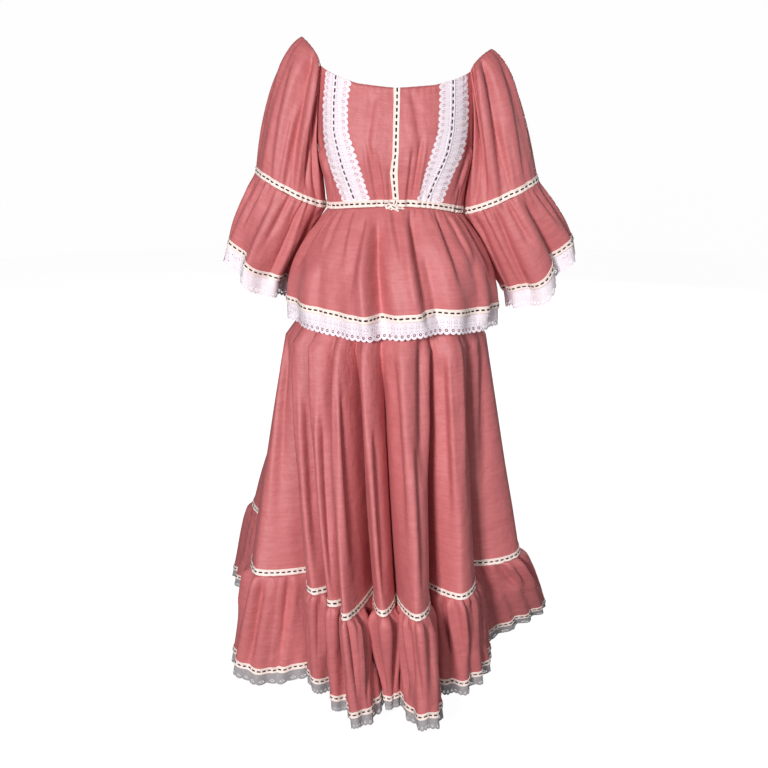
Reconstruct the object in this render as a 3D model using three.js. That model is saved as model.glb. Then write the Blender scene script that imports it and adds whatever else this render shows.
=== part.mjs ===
// A long peasant dress of rose cloth with braid and lace, worn open and hollow with no wearer in it.
// Millimetres, +Z up, the front faces -Y, and the origin is midway between the tops of the shoulders.
import * as THREE from "three";

// Thickness of each cloth, and the gap left at every seam and under every trim
const CLOTH = 2.0;
const LACE = 1.2;
const BRAID = 1.4;
const GAP = 0.3;
const ON_CLOTH = CLOTH / 2 + GAP;

// Widths of the trims
const BRAID_WIDTH = 13;
const PEPLUM_LACE_DROP = 34;
const CUFF_LACE_DROP = 35;
const HEM_LACE_DROP = 24;

// Cross-sections of the bodice: half width, and the depth in front of and behind the middle
const BODY = [
  { z: 0, half: 150, front: 74, back: 78 },
  { z: -40, half: 150, front: 82, back: 84 },
  { z: -100, half: 149, front: 98, back: 92 },
  { z: -150, half: 150, front: 114, back: 96 },
  { z: -200, half: 149, front: 123, back: 96 },
  { z: -250, half: 140, front: 113, back: 92 },
  { z: -300, half: 131, front: 99, back: 88 },
  { z: -335, half: 128, front: 96, back: 86 },
];
const BODY_SQUARENESS = 2.4;

// Height of the neckline by angle round the body: 0 is the front, 180 the back, plus is the wearer's left
const NECKLINE = [
  { angle: -180, z: -114 },
  { angle: -140, z: -104 },
  { angle: -116, z: -74 },
  { angle: -66, z: -50 },
  { angle: -45, z: -66 },
  { angle: -24, z: -81 },
  { angle: 0, z: -89 },
  { angle: 24, z: -84 },
  { angle: 45, z: -73 },
  { angle: 66, z: -60 },
  { angle: 116, z: -80 },
  { angle: 140, z: -106 },
  { angle: 180, z: -114 },
];
const ARMPIT_Z = -190;
const CORNER_FRONT = 66;
const CORNER_BACK = 116;

// Height of the high waist seam
const WAIST = { front: -303, back: -312, right: -315, left: -324 };

// Angles where the front trims run: each lace band's outer edge, middle and inner edge, and the centre braid
const BANDS = [
  { z: -60, outR: -57, midR: -43, inR: -27, centre: 0.4, inL: 27.5, midL: 40, outL: 59 },
  { z: -115, outR: -62, midR: -45.5, inR: -31.5, centre: 0.3, inL: 27.4, midL: 40, outL: 62 },
  { z: -165, outR: -62, midR: -45.5, inR: -31, centre: 0, inL: 26, midL: 38.5, outL: 61 },
  { z: -205, outR: -60, midR: -41.5, inR: -25.5, centre: -0.2, inL: 21.2, midL: 35, outL: 56 },
  { z: -240, outR: -56, midR: -37.5, inR: -21.5, centre: -1, inL: 17.5, midL: 29.5, outL: 46.5 },
  { z: -300, outR: -44.5, midR: -29.5, inR: -15.5, centre: 0.3, inL: 12, midL: 20.5, outL: 37 },
];

// Levels of the skirt and hem flounce. Their middle drifts sideways, and the back hangs higher than the front
const HIP = { z: -565, middle: -17, backRise: 0 };
const TIER = { z: -1057, middle: -15, backRise: 75 };
const HEM = { z: -1265, middle: 0, backRise: 90 };

// Crests and valleys of the skirt in turn round the body: angles and distances at the three levels.
// Sag is how far the hem hangs below its level halfway to the next line
const SKIRT_LINES = [
  { hipA: -82, hipR: 203, tierA: -64, tierR: 300, hemA: -68, hemR: 353, sag: 13 },
  { hipA: -70, hipR: 192, tierA: -53, tierR: 182, hemA: -54, hemR: 212, sag: 0 },
  { hipA: -62, hipR: 203, tierA: -37, tierR: 246, hemA: -44, hemR: 244, sag: 4 },
  { hipA: -53, hipR: 184, tierA: -31, tierR: 184, hemA: -34, hemR: 186, sag: 0 },
  { hipA: -45, hipR: 202, tierA: -25, tierR: 264, hemA: -27, hemR: 262, sag: 3 },
  { hipA: -35, hipR: 180, tierA: -20, tierR: 244, hemA: -22, hemR: 252, sag: 5 },
  { hipA: -28, hipR: 200, tierA: -15.5, tierR: 303, hemA: -14.5, hemR: 298, sag: 3 },
  { hipA: -21, hipR: 166, tierA: -9.5, tierR: 172, hemA: -6.5, hemR: 206, sag: 0 },
  { hipA: -12, hipR: 198, tierA: -2, tierR: 274, hemA: -2, hemR: 232, sag: 0 },
  { hipA: -4, hipR: 168, tierA: 4.5, tierR: 210, hemA: 2.5, hemR: 206, sag: 6 },
  { hipA: 11, hipR: 200, tierA: 11, tierR: 297, hemA: 12, hemR: 301, sag: 9 },
  { hipA: 30, hipR: 166, tierA: 26, tierR: 172, hemA: 27, hemR: 190, sag: 4 },
  { hipA: 41, hipR: 200, tierA: 34.5, tierR: 262, hemA: 42, hemR: 232, sag: 3 },
  { hipA: 59, hipR: 184, tierA: 60, tierR: 196, hemA: 80, hemR: 204, sag: -16 },
  { hipA: 84, hipR: 200, tierA: 79, tierR: 281, hemA: 104, hemR: 347, sag: 6 },
  { hipA: 104, hipR: 182, tierA: 106, tierR: 224, hemA: 118, hemR: 256, sag: 4 },
  { hipA: 121, hipR: 200, tierA: 126, tierR: 302, hemA: 129, hemR: 372, sag: 8 },
  { hipA: 136, hipR: 176, tierA: 141, tierR: 206, hemA: 142, hemR: 242, sag: 3 },
  { hipA: 150, hipR: 196, tierA: 155, tierR: 300, hemA: 156, hemR: 364, sag: 7 },
  { hipA: 164, hipR: 174, tierA: 169, tierR: 204, hemA: 170, hemR: 236, sag: 5 },
  { hipA: 178, hipR: 194, tierA: 183, tierR: 296, hemA: 184, hemR: 356, sag: 9 },
  { hipA: 194, hipR: 174, tierA: 198, tierR: 208, hemA: 198, hemR: 246, sag: 3 },
  { hipA: 209, hipR: 198, tierA: 213, tierR: 326, hemA: 212, hemR: 396, sag: 6 },
  { hipA: 223, hipR: 180, tierA: 223, tierR: 250, hemA: 222, hemR: 300, sag: 4 },
  { hipA: 237, hipR: 204, tierA: 238, tierR: 352, hemA: 233, hemR: 452, sag: 0 },
  { hipA: 257, hipR: 188, tierA: 261, tierR: 226, hemA: 258, hemR: 262, sag: 0 },
];
// Under the peplum the skirt starts inside its top edge, and its gathers are held in a little
const UNDER_PEPLUM = 0.972;
const HELD_IN = 0.14;

// Valleys of the peplum: angle at the waist and at its hem, half width and depth
const PEPLUM_HEM = { z: -490, left: 214, right: 222, front: 194, back: 192 };
const PEPLUM_FOLDS = [
  { top: -168, hem: -165, width: 12, depth: 9 },
  { top: -135, hem: -136, width: 12, depth: 8 },
  { top: -97, hem: -97, width: 28, depth: 33 },
  { top: -66, hem: -63, width: 9, depth: 7 },
  { top: -36, hem: -30, width: 9, depth: 8 },
  { top: -20, hem: -5, width: 8, depth: 12 },
  { top: 14, hem: 22, width: 9, depth: 14 },
  { top: 34, hem: 42, width: 9, depth: 7 },
  { top: 58, hem: 64, width: 10, depth: 8 },
  { top: 95, hem: 97, width: 27, depth: 32 },
  { top: 134, hem: 135, width: 12, depth: 8 },
  { top: 164, hem: 166, width: 11, depth: 9 },
];
// How far the peplum's braid hangs below its level at each angle
const PEPLUM_DROP = [
  { angle: -180, drop: 0 },
  { angle: -84, drop: -4 },
  { angle: -62, drop: 2 },
  { angle: -42, drop: 9 },
  { angle: -22, drop: 17 },
  { angle: -4, drop: 16 },
  { angle: 14, drop: 10 },
  { angle: 26, drop: 4 },
  { angle: 36, drop: 12 },
  { angle: 60, drop: 12 },
  { angle: 90, drop: 18 },
  { angle: 140, drop: 4 },
  { angle: 180, drop: 0 },
];

// Each sleeve: top of the shoulder, then rings at the elbow seam and the cuff with their half widths.
// The cuff's front hangs lower than its outer part and a fold parts them: step has the drop and the depth
const SLEEVES = {
  right: {
    side: -1,
    shoulder: [176, 2],
    lean: 0.11,
    elbow: { x: 208, y: 6, z: -282, lean: 28, across: 70, deep: 61 },
    cuff: { x: 277, y: 34, z: -424, lean: 33, across: 67, deep: 82 },
    waves: 7,
    turn: 0.4,
    step: { drop: 15, fold: 14 },
  },
  left: {
    side: 1,
    shoulder: [180, -20],
    lean: 0.24,
    elbow: { x: 210, y: 6, z: -296, lean: 25, across: 74.5, deep: 62 },
    cuff: { x: 290, y: 34, z: -434, lean: 38, across: 82, deep: 82 },
    waves: 7,
    turn: 1.5,
    step: { drop: 26, fold: 26 },
  },
};
// Long folds of a sleeve: angle round it from the underarm by way of the front, half width and depth
const SLEEVE_FOLDS = [
  { angle: 62, width: 15, depth: 7 },
  { angle: 106, width: 13, depth: 5 },
  { angle: 150, width: 14, depth: 4 },
  { angle: 212, width: 15, depth: 6 },
  { angle: 262, width: 15, depth: 6 },
  { angle: 305, width: 14, depth: 5 },
];
const CUFF_WAVE = 7;
const CUFF_FRONT = { angle: 92, inward: 65, outward: 34 };
const CUFF_FOLD = { angle: 128, width: 30 };
// The curve of a sleeve from its top to the elbow seam: the ways it leaves and how long its two handles are
const SLEEVE_CURVE = {
  underarm: { out: 0.66, down: 0.5 },
  outside: { deep: 0.9, down: 0.5, from: 2.2 },
  top: { inner: 0.1, outer: 0.21 },
  elbow: 0.33,
};
// How fast the neck edge of a sleeve goes out and up to the shoulder
const SHOULDER_ARCH = { out: 1.2, up: 0.8 };
const FLOUNCE_SHARES = [0.3, 0.62];
const FLOUNCE_BOW = 6;
const CUFF_LACE_SPREAD = 0.2;

const radians = THREE.MathUtils.degToRad;
const lerp = THREE.MathUtils.lerp;
const point = (x, y, z) => new THREE.Vector3(x, y, z);

// A table read between its rows, with the column `key` in rising or falling order
function read(table, key, value, column) {
  const rising = table[table.length - 1][key] > table[0][key];
  const after = table.findIndex((row) => (rising ? row[key] >= value : row[key] <= value));
  if (after <= 0) return (after === 0 ? table[0] : table[table.length - 1])[column];
  const [low, high] = [table[after - 1], table[after]];
  return lerp(low[column], high[column], (value - low[key]) / (high[key] - low[key]));
}

// An angle brought between -180 and 180 degrees
const within = (angle) => angle - 360 * Math.floor((angle + 180) / 360);
const power = (value, exponent) => Math.sign(value) * Math.abs(value) ** exponent;

// A smooth rise to 1 and back, as wide as given on each side
function bump(offset, width) {
  return Math.abs(offset) < width ? (1 + Math.cos((Math.PI * offset) / width)) / 2 : 0;
}
function waistHeight(angle) {
  const across = Math.sin(radians(angle));
  const ahead = Math.cos(radians(angle));
  const side = across > 0 ? WAIST.left : WAIST.right;
  return side * across ** 2 + (ahead > 0 ? WAIST.front : WAIST.back) * ahead ** 2;
}

// A point of the body's outline at a height and an angle
function onBody(z, angle) {
  const turn = radians(angle);
  const depth = Math.cos(turn) > 0 ? read(BODY, "z", z, "front") : read(BODY, "z", z, "back");
  return point(
    read(BODY, "z", z, "half") * power(Math.sin(turn), 2 / BODY_SQUARENESS),
    -depth * power(Math.cos(turn), 2 / BODY_SQUARENESS),
    z,
  );
}

// The top edge of the bodice: the neckline, and beyond its corners the armhole seam down to the armpit
function topEdge(angle) {
  const turn = Math.abs(within(angle));
  if (turn <= CORNER_FRONT || turn >= CORNER_BACK) return read(NECKLINE, "angle", within(angle), "z");
  const corner = Math.sign(within(angle)) * (turn < 90 ? CORNER_FRONT : CORNER_BACK);
  const reach = (turn - Math.abs(corner)) / (90 - Math.abs(corner));
  return lerp(read(NECKLINE, "angle", corner, "z"), ARMPIT_Z, 1 - (1 - reach) ** 1.5);
}

// Grids: points in rows that run down and columns that run counter-clockwise seen from above

// The outward direction at each point of a grid, from its neighbours
function normalsOf(grid, closed) {
  const last = grid.length - 1;
  return grid.map((row, r) =>
    row.map((_, c) => {
      const count = row.length;
      const before = closed ? (c + count - 1) % count : Math.max(c - 1, 0);
      const after = closed ? (c + 1) % count : Math.min(c + 1, count - 1);
      const across = row[after].clone().sub(row[before]);
      const down = grid[Math.min(r + 1, last)][c].clone().sub(grid[Math.max(r - 1, 0)][c]);
      return down.cross(across).normalize();
    }),
  );
}

const surface = (grid, closed) => ({ grid, closed, normals: normalsOf(grid, closed) });

// Part of a surface: rows and columns from and to, each edge that meets a neighbour drawn in by half the gap
function part(from, rows, columns, drawn = {}) {
  const count = from.grid[0].length;
  const whole = from.closed && !columns;
  const [first, final] = columns || [0, count - 1];
  const picked = (source) =>
    source
      .slice(rows[0], rows[1] + 1)
      .map((row) =>
        Array.from({ length: final - first + 1 }, (_, i) => row[(first + i + count) % count].clone()),
      );
  const made = { grid: picked(from.grid), normals: picked(from.normals), closed: whole };
  drawIn(made, drawn);
  return made;
}

// Edges moved along the cloth, square to the edge: up, down, start and end name them
function drawIn(piece, drawn) {
  const { grid, normals, closed } = piece;
  const high = grid.length - 1;
  const wide = grid[0].length - 1;
  const moves = [];
  const plan = (r, c, along, inward, distance) => {
    const step = along.clone().cross(normals[r][c]).normalize();
    if (step.dot(inward) < 0) step.negate();
    moves.push([grid[r][c], step.multiplyScalar(distance)]);
  };
  for (const [edge, r, next] of [["up", 0, 1], ["down", high, high - 1]]) {
    if (!drawn[edge]) continue;
    for (let c = 0; c <= wide; c += 1) {
      const before = closed ? (c + wide) % (wide + 1) : Math.max(c - 1, 0);
      const after = closed ? (c + 1) % (wide + 1) : Math.min(c + 1, wide);
      const along = grid[r][after].clone().sub(grid[r][before]);
      plan(r, c, along, grid[next][c].clone().sub(grid[r][c]), drawn[edge]);
    }
  }
  for (const [edge, c, next] of [["start", 0, 1], ["end", wide, wide - 1]]) {
    if (!drawn[edge] || closed) continue;
    for (let r = 0; r <= high; r += 1) {
      const along = grid[Math.min(r + 1, high)][c].clone().sub(grid[Math.max(r - 1, 0)][c]);
      plan(r, c, along, grid[r][next].clone().sub(grid[r][c]), drawn[edge]);
    }
  }
  moves.forEach(([place, step]) => place.add(step));
}

// A wall of even thickness over a part of a surface, lifted off it: one closed body
function wall(piece, thickness, lift = 0) {
  const { grid, normals, closed } = piece;
  const high = grid.length;
  const wide = grid[0].length;
  const places = [];
  for (const shift of [lift + thickness / 2, lift - thickness / 2]) {
    grid.forEach((row, r) =>
      row.forEach((at, c) => {
        const moved = at.clone().addScaledVector(normals[r][c], shift);
        places.push(moved.x, moved.y, moved.z);
      }),
    );
  }
  const outer = (r, c) => r * wide + (c % wide);
  const inner = (r, c) => high * wide + outer(r, c);
  const faces = [];
  const quad = (a, b, c, d) => faces.push(a, b, c, a, c, d);
  const spans = closed ? wide : wide - 1;
  for (let c = 0; c < spans; c += 1) {
    for (let r = 0; r < high - 1; r += 1) {
      faces.push(outer(r, c), outer(r + 1, c), outer(r, c + 1));
      faces.push(outer(r, c + 1), outer(r + 1, c), outer(r + 1, c + 1));
      faces.push(inner(r, c), inner(r, c + 1), inner(r + 1, c));
      faces.push(inner(r, c + 1), inner(r + 1, c + 1), inner(r + 1, c));
    }
    quad(outer(0, c), outer(0, c + 1), inner(0, c + 1), inner(0, c));
    quad(outer(high - 1, c + 1), outer(high - 1, c), inner(high - 1, c), inner(high - 1, c + 1));
  }
  if (!closed) {
    for (let r = 0; r < high - 1; r += 1) {
      quad(outer(r + 1, 0), outer(r, 0), inner(r, 0), inner(r + 1, 0));
      quad(outer(r, wide - 1), outer(r + 1, wide - 1), inner(r + 1, wide - 1), inner(r, wide - 1));
    }
  }
  const geometry = new THREE.BufferGeometry();
  geometry.setAttribute("position", new THREE.Float32BufferAttribute(places, 3));
  geometry.setIndex(faces);
  geometry.computeVertexNormals();
  return geometry;
}

// Columns of the bodice front: each stretch between two lines is parted evenly
const BRAID_HALF = 3.3;
const bandLine = (line, beside = 0) => (z) => read(BANDS, "z", z, line) + beside;
const FRONT_STRETCHES = [
  { edge: "sideR", upTo: () => -90, columns: 0 },
  { edge: "cornerR", upTo: () => -CORNER_FRONT, columns: 7 },
  { edge: "outR", upTo: bandLine("outR"), columns: 1 },
  { edge: "braidOutR", upTo: bandLine("midR", -BRAID_HALF), columns: 2 },
  { edge: "braidInR", upTo: bandLine("midR", BRAID_HALF), columns: 1 },
  { edge: "inR", upTo: bandLine("inR"), columns: 2 },
  { edge: "centreR", upTo: bandLine("centre", -BRAID_HALF), columns: 4 },
  { edge: "centreL", upTo: bandLine("centre", BRAID_HALF), columns: 1 },
  { edge: "inL", upTo: bandLine("inL"), columns: 4 },
  { edge: "braidInL", upTo: bandLine("midL", -BRAID_HALF), columns: 2 },
  { edge: "braidOutL", upTo: bandLine("midL", BRAID_HALF), columns: 1 },
  { edge: "outL", upTo: bandLine("outL"), columns: 2 },
  { edge: "cornerL", upTo: () => CORNER_FRONT, columns: 1 },
  { edge: "sideL", upTo: () => 90, columns: 7 },
];
const BACK_STRETCHES = [
  { edge: "backL", upTo: () => CORNER_BACK, columns: 7 },
  { edge: "backR", upTo: () => 360 - CORNER_BACK, columns: 12 },
  { edge: "sideR", upTo: () => 270, columns: 7 },
];
// The column that lies on an edge of the front
function columnOn(edge) {
  const index = FRONT_STRETCHES.findIndex((stretch) => stretch.edge === edge);
  return FRONT_STRETCHES.slice(0, index + 1).reduce((sum, stretch) => sum + stretch.columns, 0);
}

function columnsOf(stretches) {
  const list = [];
  stretches.forEach((stretch, i) => {
    for (let k = 1; k <= stretch.columns; k += 1) {
      list.push((z) => lerp(stretches[i - 1].upTo(z), stretch.upTo(z), k / stretch.columns));
    }
  });
  return list;
}
const sideToSide = columnsOf([...FRONT_STRETCHES, ...BACK_STRETCHES]);
const bodiceColumns = [() => -90, ...sideToSide.slice(0, -1)];
const FRONT_COLUMNS = columnOn("sideL");

// Rows of the bodice from its top edge to the waist seam, the last one as high as the braid there
const BODICE_ROWS = 9;
function bodiceGrid() {
  const grid = [];
  for (let r = 0; r <= BODICE_ROWS; r += 1) {
    grid.push(
      bodiceColumns.map((angleAt) => {
        let angle = angleAt(-150);
        let z = -150;
        for (let turn = 0; turn < 6; turn += 1) {
          const bottom = waistHeight(angle);
          const braidTop = bottom + BRAID_WIDTH;
          z = r === BODICE_ROWS ? bottom : lerp(topEdge(angle), braidTop, r / (BODICE_ROWS - 1));
          angle = angleAt(z);
        }
        return onBody(z, angle);
      }),
    );
  }
  return grid;
}

// How far a fold has sunk at a share of the way from its round crest to its narrower valley
const EVEN_WAVE = 0.35;
function roundCrest(share) {
  const wave = (1 - Math.cos(Math.PI * share)) / 2;
  const crest = 1 - Math.cos((Math.PI / 2) * share);
  return lerp(crest, wave, EVEN_WAVE);
}

// A column of the skirt: its angle and distance at the three levels, between two lines of the table
function skirtColumns(count) {
  const list = [];
  SKIRT_LINES.forEach((line, i) => {
    const wraps = i === SKIRT_LINES.length - 1;
    const next = SKIRT_LINES[(i + 1) % SKIRT_LINES.length];
    for (let k = 0; k < count; k += 1) {
      const share = k / count;
      const eased = i % 2 ? 1 - roundCrest(1 - share) : roundCrest(share);
      const angle = (key) => lerp(line[key], next[key] + (wraps ? 360 : 0), share);
      const radius = (key) => lerp(line[key], next[key], eased);
      const sag = line.sag * Math.sin(Math.PI * share);
      list.push({
        hip: { ...HIP, angle: angle("hipA"), radius: radius("hipR") },
        tier: { ...TIER, angle: angle("tierA"), radius: radius("tierR") },
        hem: { ...HEM, z: HEM.z - sag, angle: angle("hemA"), radius: radius("hemR") },
      });
    }
  });
  return list;
}

function atLevel(level) {
  const turn = radians(level.angle);
  const rise = (level.backRise * (1 - Math.cos(turn))) / 2;
  return point(level.middle + level.radius * Math.sin(turn), -level.radius * Math.cos(turn), level.z + rise);
}

// A point of the skirt: 0 is the waist seam, 1 the hip, 2 the tier seam, 3 the hem, and beyond it is lace
function onSkirt(column, level) {
  const mix = (low, high, share) => {
    const turn = radians(lerp(low.angle, high.angle, share));
    const radius = lerp(low.radius, high.radius, share);
    const z = lerp(atLevel(low).z, atLevel(high).z, share);
    return point(lerp(low.middle, high.middle, share) + radius * Math.sin(turn), -radius * Math.cos(turn), z);
  };
  if (level > 2) return mix(column.tier, column.hem, level - 2);
  if (level > 1) return mix(column.hip, column.tier, level - 1);
  const top = onBody(waistHeight(column.hip.angle), column.hip.angle);
  top.x *= UNDER_PEPLUM;
  top.y *= UNDER_PEPLUM;
  top.z -= CLOTH / 2;
  const held = 1 - HELD_IN * Math.sin(Math.PI * level);
  const low = atLevel(column.hip);
  const height = lerp(top.z, low.z, level);
  return point(lerp(top.x, low.x, level) * held, lerp(top.y, low.y, level) * held, height);
}

const STRETCH_COLUMNS = 3;
const skirtColumnList = skirtColumns(STRETCH_COLUMNS);
const SKIRT_LEVELS = [0, 0.3, 0.6, 0.86, 1, 1.22, 1.44, 1.64, 1.84];
const tierDrop = TIER.z - HIP.z;
const hemDrop = HEM.z - TIER.z;
const TIER_BRAID_LEVEL = 2 + BRAID_WIDTH / tierDrop;
const HEM_BRAID_LEVEL = 3 + BRAID_WIDTH / hemDrop;
const HEM_LACE_LEVEL = 3 - HEM_LACE_DROP / hemDrop;
const lowerLevels = [...SKIRT_LEVELS, TIER_BRAID_LEVEL, 2, 2.34, 2.67, HEM_BRAID_LEVEL, 3, HEM_LACE_LEVEL];
const lowerGrid = lowerLevels.map((level) => skirtColumnList.map((column) => onSkirt(column, level)));

// Peplum: from the waist seam out to its hem ring, its waves growing downwards, and its lace below
const PEPLUM_COLUMNS = 72;
function onPeplum(angle, down, drop) {
  const turn = radians(angle);
  const top = onBody(waistHeight(angle), angle);
  const { left, right, front, back } = PEPLUM_HEM;
  const half = Math.sin(turn) > 0 ? left : right;
  const deep = Math.cos(turn) > 0 ? front : back;
  const hemZ = PEPLUM_HEM.z - read(PEPLUM_DROP, "angle", within(angle), "drop");
  const share = Math.min(down, 1);
  const flare = Math.sin((Math.PI / 2) * share) ** 0.85;
  let inward = 0;
  PEPLUM_FOLDS.forEach((fold) => {
    inward += fold.depth * share ** 0.7 * bump(within(angle - lerp(fold.top, fold.hem, share)), fold.width);
  });
  const across = lerp(Math.abs(top.x), half * Math.abs(Math.sin(turn)), flare);
  const fore = lerp(Math.abs(top.y), deep * Math.abs(Math.cos(turn)), flare);
  const tuck = 1 - inward / Math.hypot(across, fore);
  return point(
    Math.sign(Math.sin(turn)) * across * tuck,
    -Math.sign(Math.cos(turn)) * fore * tuck,
    lerp(top.z, hemZ, share) - drop,
  );
}
const PEPLUM_LENGTH = 180;
const peplumRows = [
  { down: 0, drop: 0.2 },
  { down: 0.16, drop: 0 },
  { down: 0.36, drop: 0 },
  { down: 0.64, drop: 0 },
  { down: 1 - BRAID_WIDTH / PEPLUM_LENGTH, drop: 0 },
  { down: 1, drop: 0 },
  { down: 1.01, drop: PEPLUM_LACE_DROP },
];
const peplumGrid = peplumRows.map((row) =>
  Array.from({ length: PEPLUM_COLUMNS }, (_, c) => {
    const angle = -90 + (360 * c) / PEPLUM_COLUMNS;
    return onPeplum(angle, row.down, row.drop);
  }),
);

// Sleeve: from the armhole seam and the neck edge to the elbow ring, then the flounce and its lace
const NECK_COLUMNS = 12;
const SEAM_COLUMNS = 7;
function ringPoint(ring, side, turn, grow = 0) {
  const lean = radians(ring.lean);
  const across = -Math.cos(turn) * (ring.across + grow);
  return point(
    side * (ring.x + across * Math.cos(lean)),
    ring.y - Math.sin(turn) * (ring.deep + grow),
    ring.z + across * Math.sin(lean),
  );
}

function sleeveTop(sleeve, bodice) {
  const { side } = sleeve;
  const row = bodice[0];
  const count = row.length;
  const armpit = side > 0 ? FRONT_COLUMNS : 0;
  const at = (step) => row[(armpit + step + count) % count];
  const loop = [];
  for (let k = 0; k < SEAM_COLUMNS; k += 1) loop.push(at(-side * k));
  const front = at(-side * SEAM_COLUMNS);
  const back = at(side * SEAM_COLUMNS);
  const [peakX, peakZ] = sleeve.shoulder;
  for (let k = 0; k <= NECK_COLUMNS; k += 1) {
    const share = k / NECK_COLUMNS;
    const arch = Math.sin(Math.PI * share);
    const straight = front.clone().lerp(back, share);
    const rise = peakZ - (front.z + back.z) / 2;
    const reach = peakX - Math.abs(front.x + back.x) / 2;
    const out = reach * arch ** SHOULDER_ARCH.out;
    loop.push(straight.add(point(side * out, 0, rise * arch ** SHOULDER_ARCH.up)));
  }
  for (let k = SEAM_COLUMNS - 1; k > 0; k -= 1) loop.push(at(side * k));
  return loop;
}

// Angle round the sleeve of each column: the underarm is 0, the front 90, the outside 180
const FRONT_CORNER_TURN = 78;
function sleeveTurn(k) {
  if (k <= SEAM_COLUMNS) return (FRONT_CORNER_TURN * k) / SEAM_COLUMNS;
  const neck = (k - SEAM_COLUMNS) / NECK_COLUMNS;
  if (neck <= 1) return lerp(FRONT_CORNER_TURN, 360 - FRONT_CORNER_TURN, neck);
  return 360 - (FRONT_CORNER_TURN * (2 * SEAM_COLUMNS + NECK_COLUMNS - k)) / SEAM_COLUMNS;
}

const SLEEVE_SHARES = [0, 0.07, 0.18, 0.32, 0.47, 0.62, 0.77, 0.9];
const BEAT_DRIFT = 0.7;
function sleeveColumn(sleeve, top, degrees) {
  const { side, elbow, cuff, step } = sleeve;
  const { underarm, outside, top: handle, elbow: elbowHandle } = SLEEVE_CURVE;
  const axis = point(side * sleeve.lean, 0, -1).normalize();
  const turn = radians(degrees);
  const outward = (1 - Math.cos(turn)) / 2;
  const radial = point(-side * Math.cos(turn), -Math.sin(turn), 0);
  const low = ringPoint(elbow, side, turn);
  const length = top.distanceTo(low);
  const away = point(radial.x, radial.y * outside.deep, 0).normalize().addScaledVector(axis, outside.down);
  const leave = point(side * underarm.out, 0, -underarm.down).lerp(away, Math.min(1, outward * outside.from));
  const curve = new THREE.CubicBezierCurve3(
    top,
    top.clone().addScaledVector(leave.normalize(), length * lerp(handle.inner, handle.outer, outward)),
    low.clone().addScaledVector(axis, -length * elbowHandle),
    low,
  );
  const folds = SLEEVE_FOLDS.reduce((sum, row) => sum + row.depth * bump(degrees - row.angle, row.width), 0);
  const braidShare = 1 - BRAID_WIDTH / length;
  const list = SLEEVE_SHARES.map((share) => {
    const eased = (share * braidShare) / SLEEVE_SHARES.at(-1);
    return curve.getPoint(eased).addScaledVector(radial, -folds * Math.sin(Math.PI * eased) ** 0.8);
  });
  list.push(low.clone());
  const wave = CUFF_WAVE * Math.cos(sleeve.waves * turn + sleeve.turn + BEAT_DRIFT * Math.sin(2 * turn));
  const parted = step.fold * bump(degrees - CUFF_FOLD.angle, CUFF_FOLD.width);
  const fromFront = degrees - CUFF_FRONT.angle;
  const flounceEnd = ringPoint(cuff, side, turn, wave - parted);
  flounceEnd.z -= step.drop * bump(fromFront, fromFront < 0 ? CUFF_FRONT.inward : CUFF_FRONT.outward);
  const braidTop = 1 - BRAID_WIDTH / low.distanceTo(flounceEnd);
  [...FLOUNCE_SHARES, braidTop, 1].forEach((share) => {
    const bow = FLOUNCE_BOW * Math.sin(Math.PI * share);
    list.push(low.clone().lerp(flounceEnd, share).addScaledVector(radial, bow));
  });
  const hang = point(side * CUFF_LACE_SPREAD, 0, -1).normalize();
  list.push(flounceEnd.clone().addScaledVector(hang, CUFF_LACE_DROP));
  return list;
}

function sleeveGrid(sleeve, bodice) {
  const columns = sleeveTop(sleeve, bodice).map((top, k) => sleeveColumn(sleeve, top, sleeveTurn(k)));
  const grid = columns[0].map((_, r) => columns.map((column) => column[r]));
  return sleeve.side > 0 ? grid : grid.map((row) => [row[0], ...row.slice(1).reverse()]);
}

// Where the sleeve meets the bodice both walls take the direction halfway between theirs
function shareSeam(sleeve, sleeveSurface, bodiceSurface) {
  const { side } = sleeve;
  const count = bodiceSurface.grid[0].length;
  const around = sleeveSurface.grid[0].length;
  const armpit = side > 0 ? FRONT_COLUMNS : 0;
  for (let k = -SEAM_COLUMNS; k <= SEAM_COLUMNS; k += 1) {
    const mine = bodiceSurface.normals[0][(armpit - side * k + count) % count];
    const ring = side > 0 ? (k + around) % around : (around - k) % around;
    const theirs = sleeveSurface.normals[0][ring];
    const both = mine.clone().add(theirs).normalize();
    mine.copy(both);
    theirs.copy(both);
  }
}

// Finishes: rose cloth, white lace, ivory braid
const finish = (color, roughness) => new THREE.MeshStandardMaterial({ color, roughness, metalness: 0 });
const ROSE = "#c4686b";
const LACE_WHITE = "#efe2ea";
const IVORY = "#efe0d3";

const dress = new THREE.Group();
function add(name, geometry, color, roughness) {
  const mesh = new THREE.Mesh(geometry, finish(color, roughness));
  mesh.name = name;
  dress.add(mesh);
}
const cloth = (name, piece) => add(name, wall(piece, CLOTH), ROSE, 0.62);
const lace = (name, piece, lift = 0) => add(name, wall(piece, LACE, lift), LACE_WHITE, 0.8);
const braid = (name, piece, under = 0) => {
  add(name, wall(piece, BRAID, ON_CLOTH + under + BRAID / 2), IVORY, 0.7);
};

const seam = GAP / 2;
const angledSeam = 0.2;
const bodice = surface(bodiceGrid(), true);
const sleeves = Object.entries(SLEEVES).map(([name, sleeve]) => ({
  name,
  sleeve,
  made: surface(sleeveGrid(sleeve, bodice.grid), true),
}));
sleeves.forEach(({ sleeve, made }) => shareSeam(sleeve, made, bodice));

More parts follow.
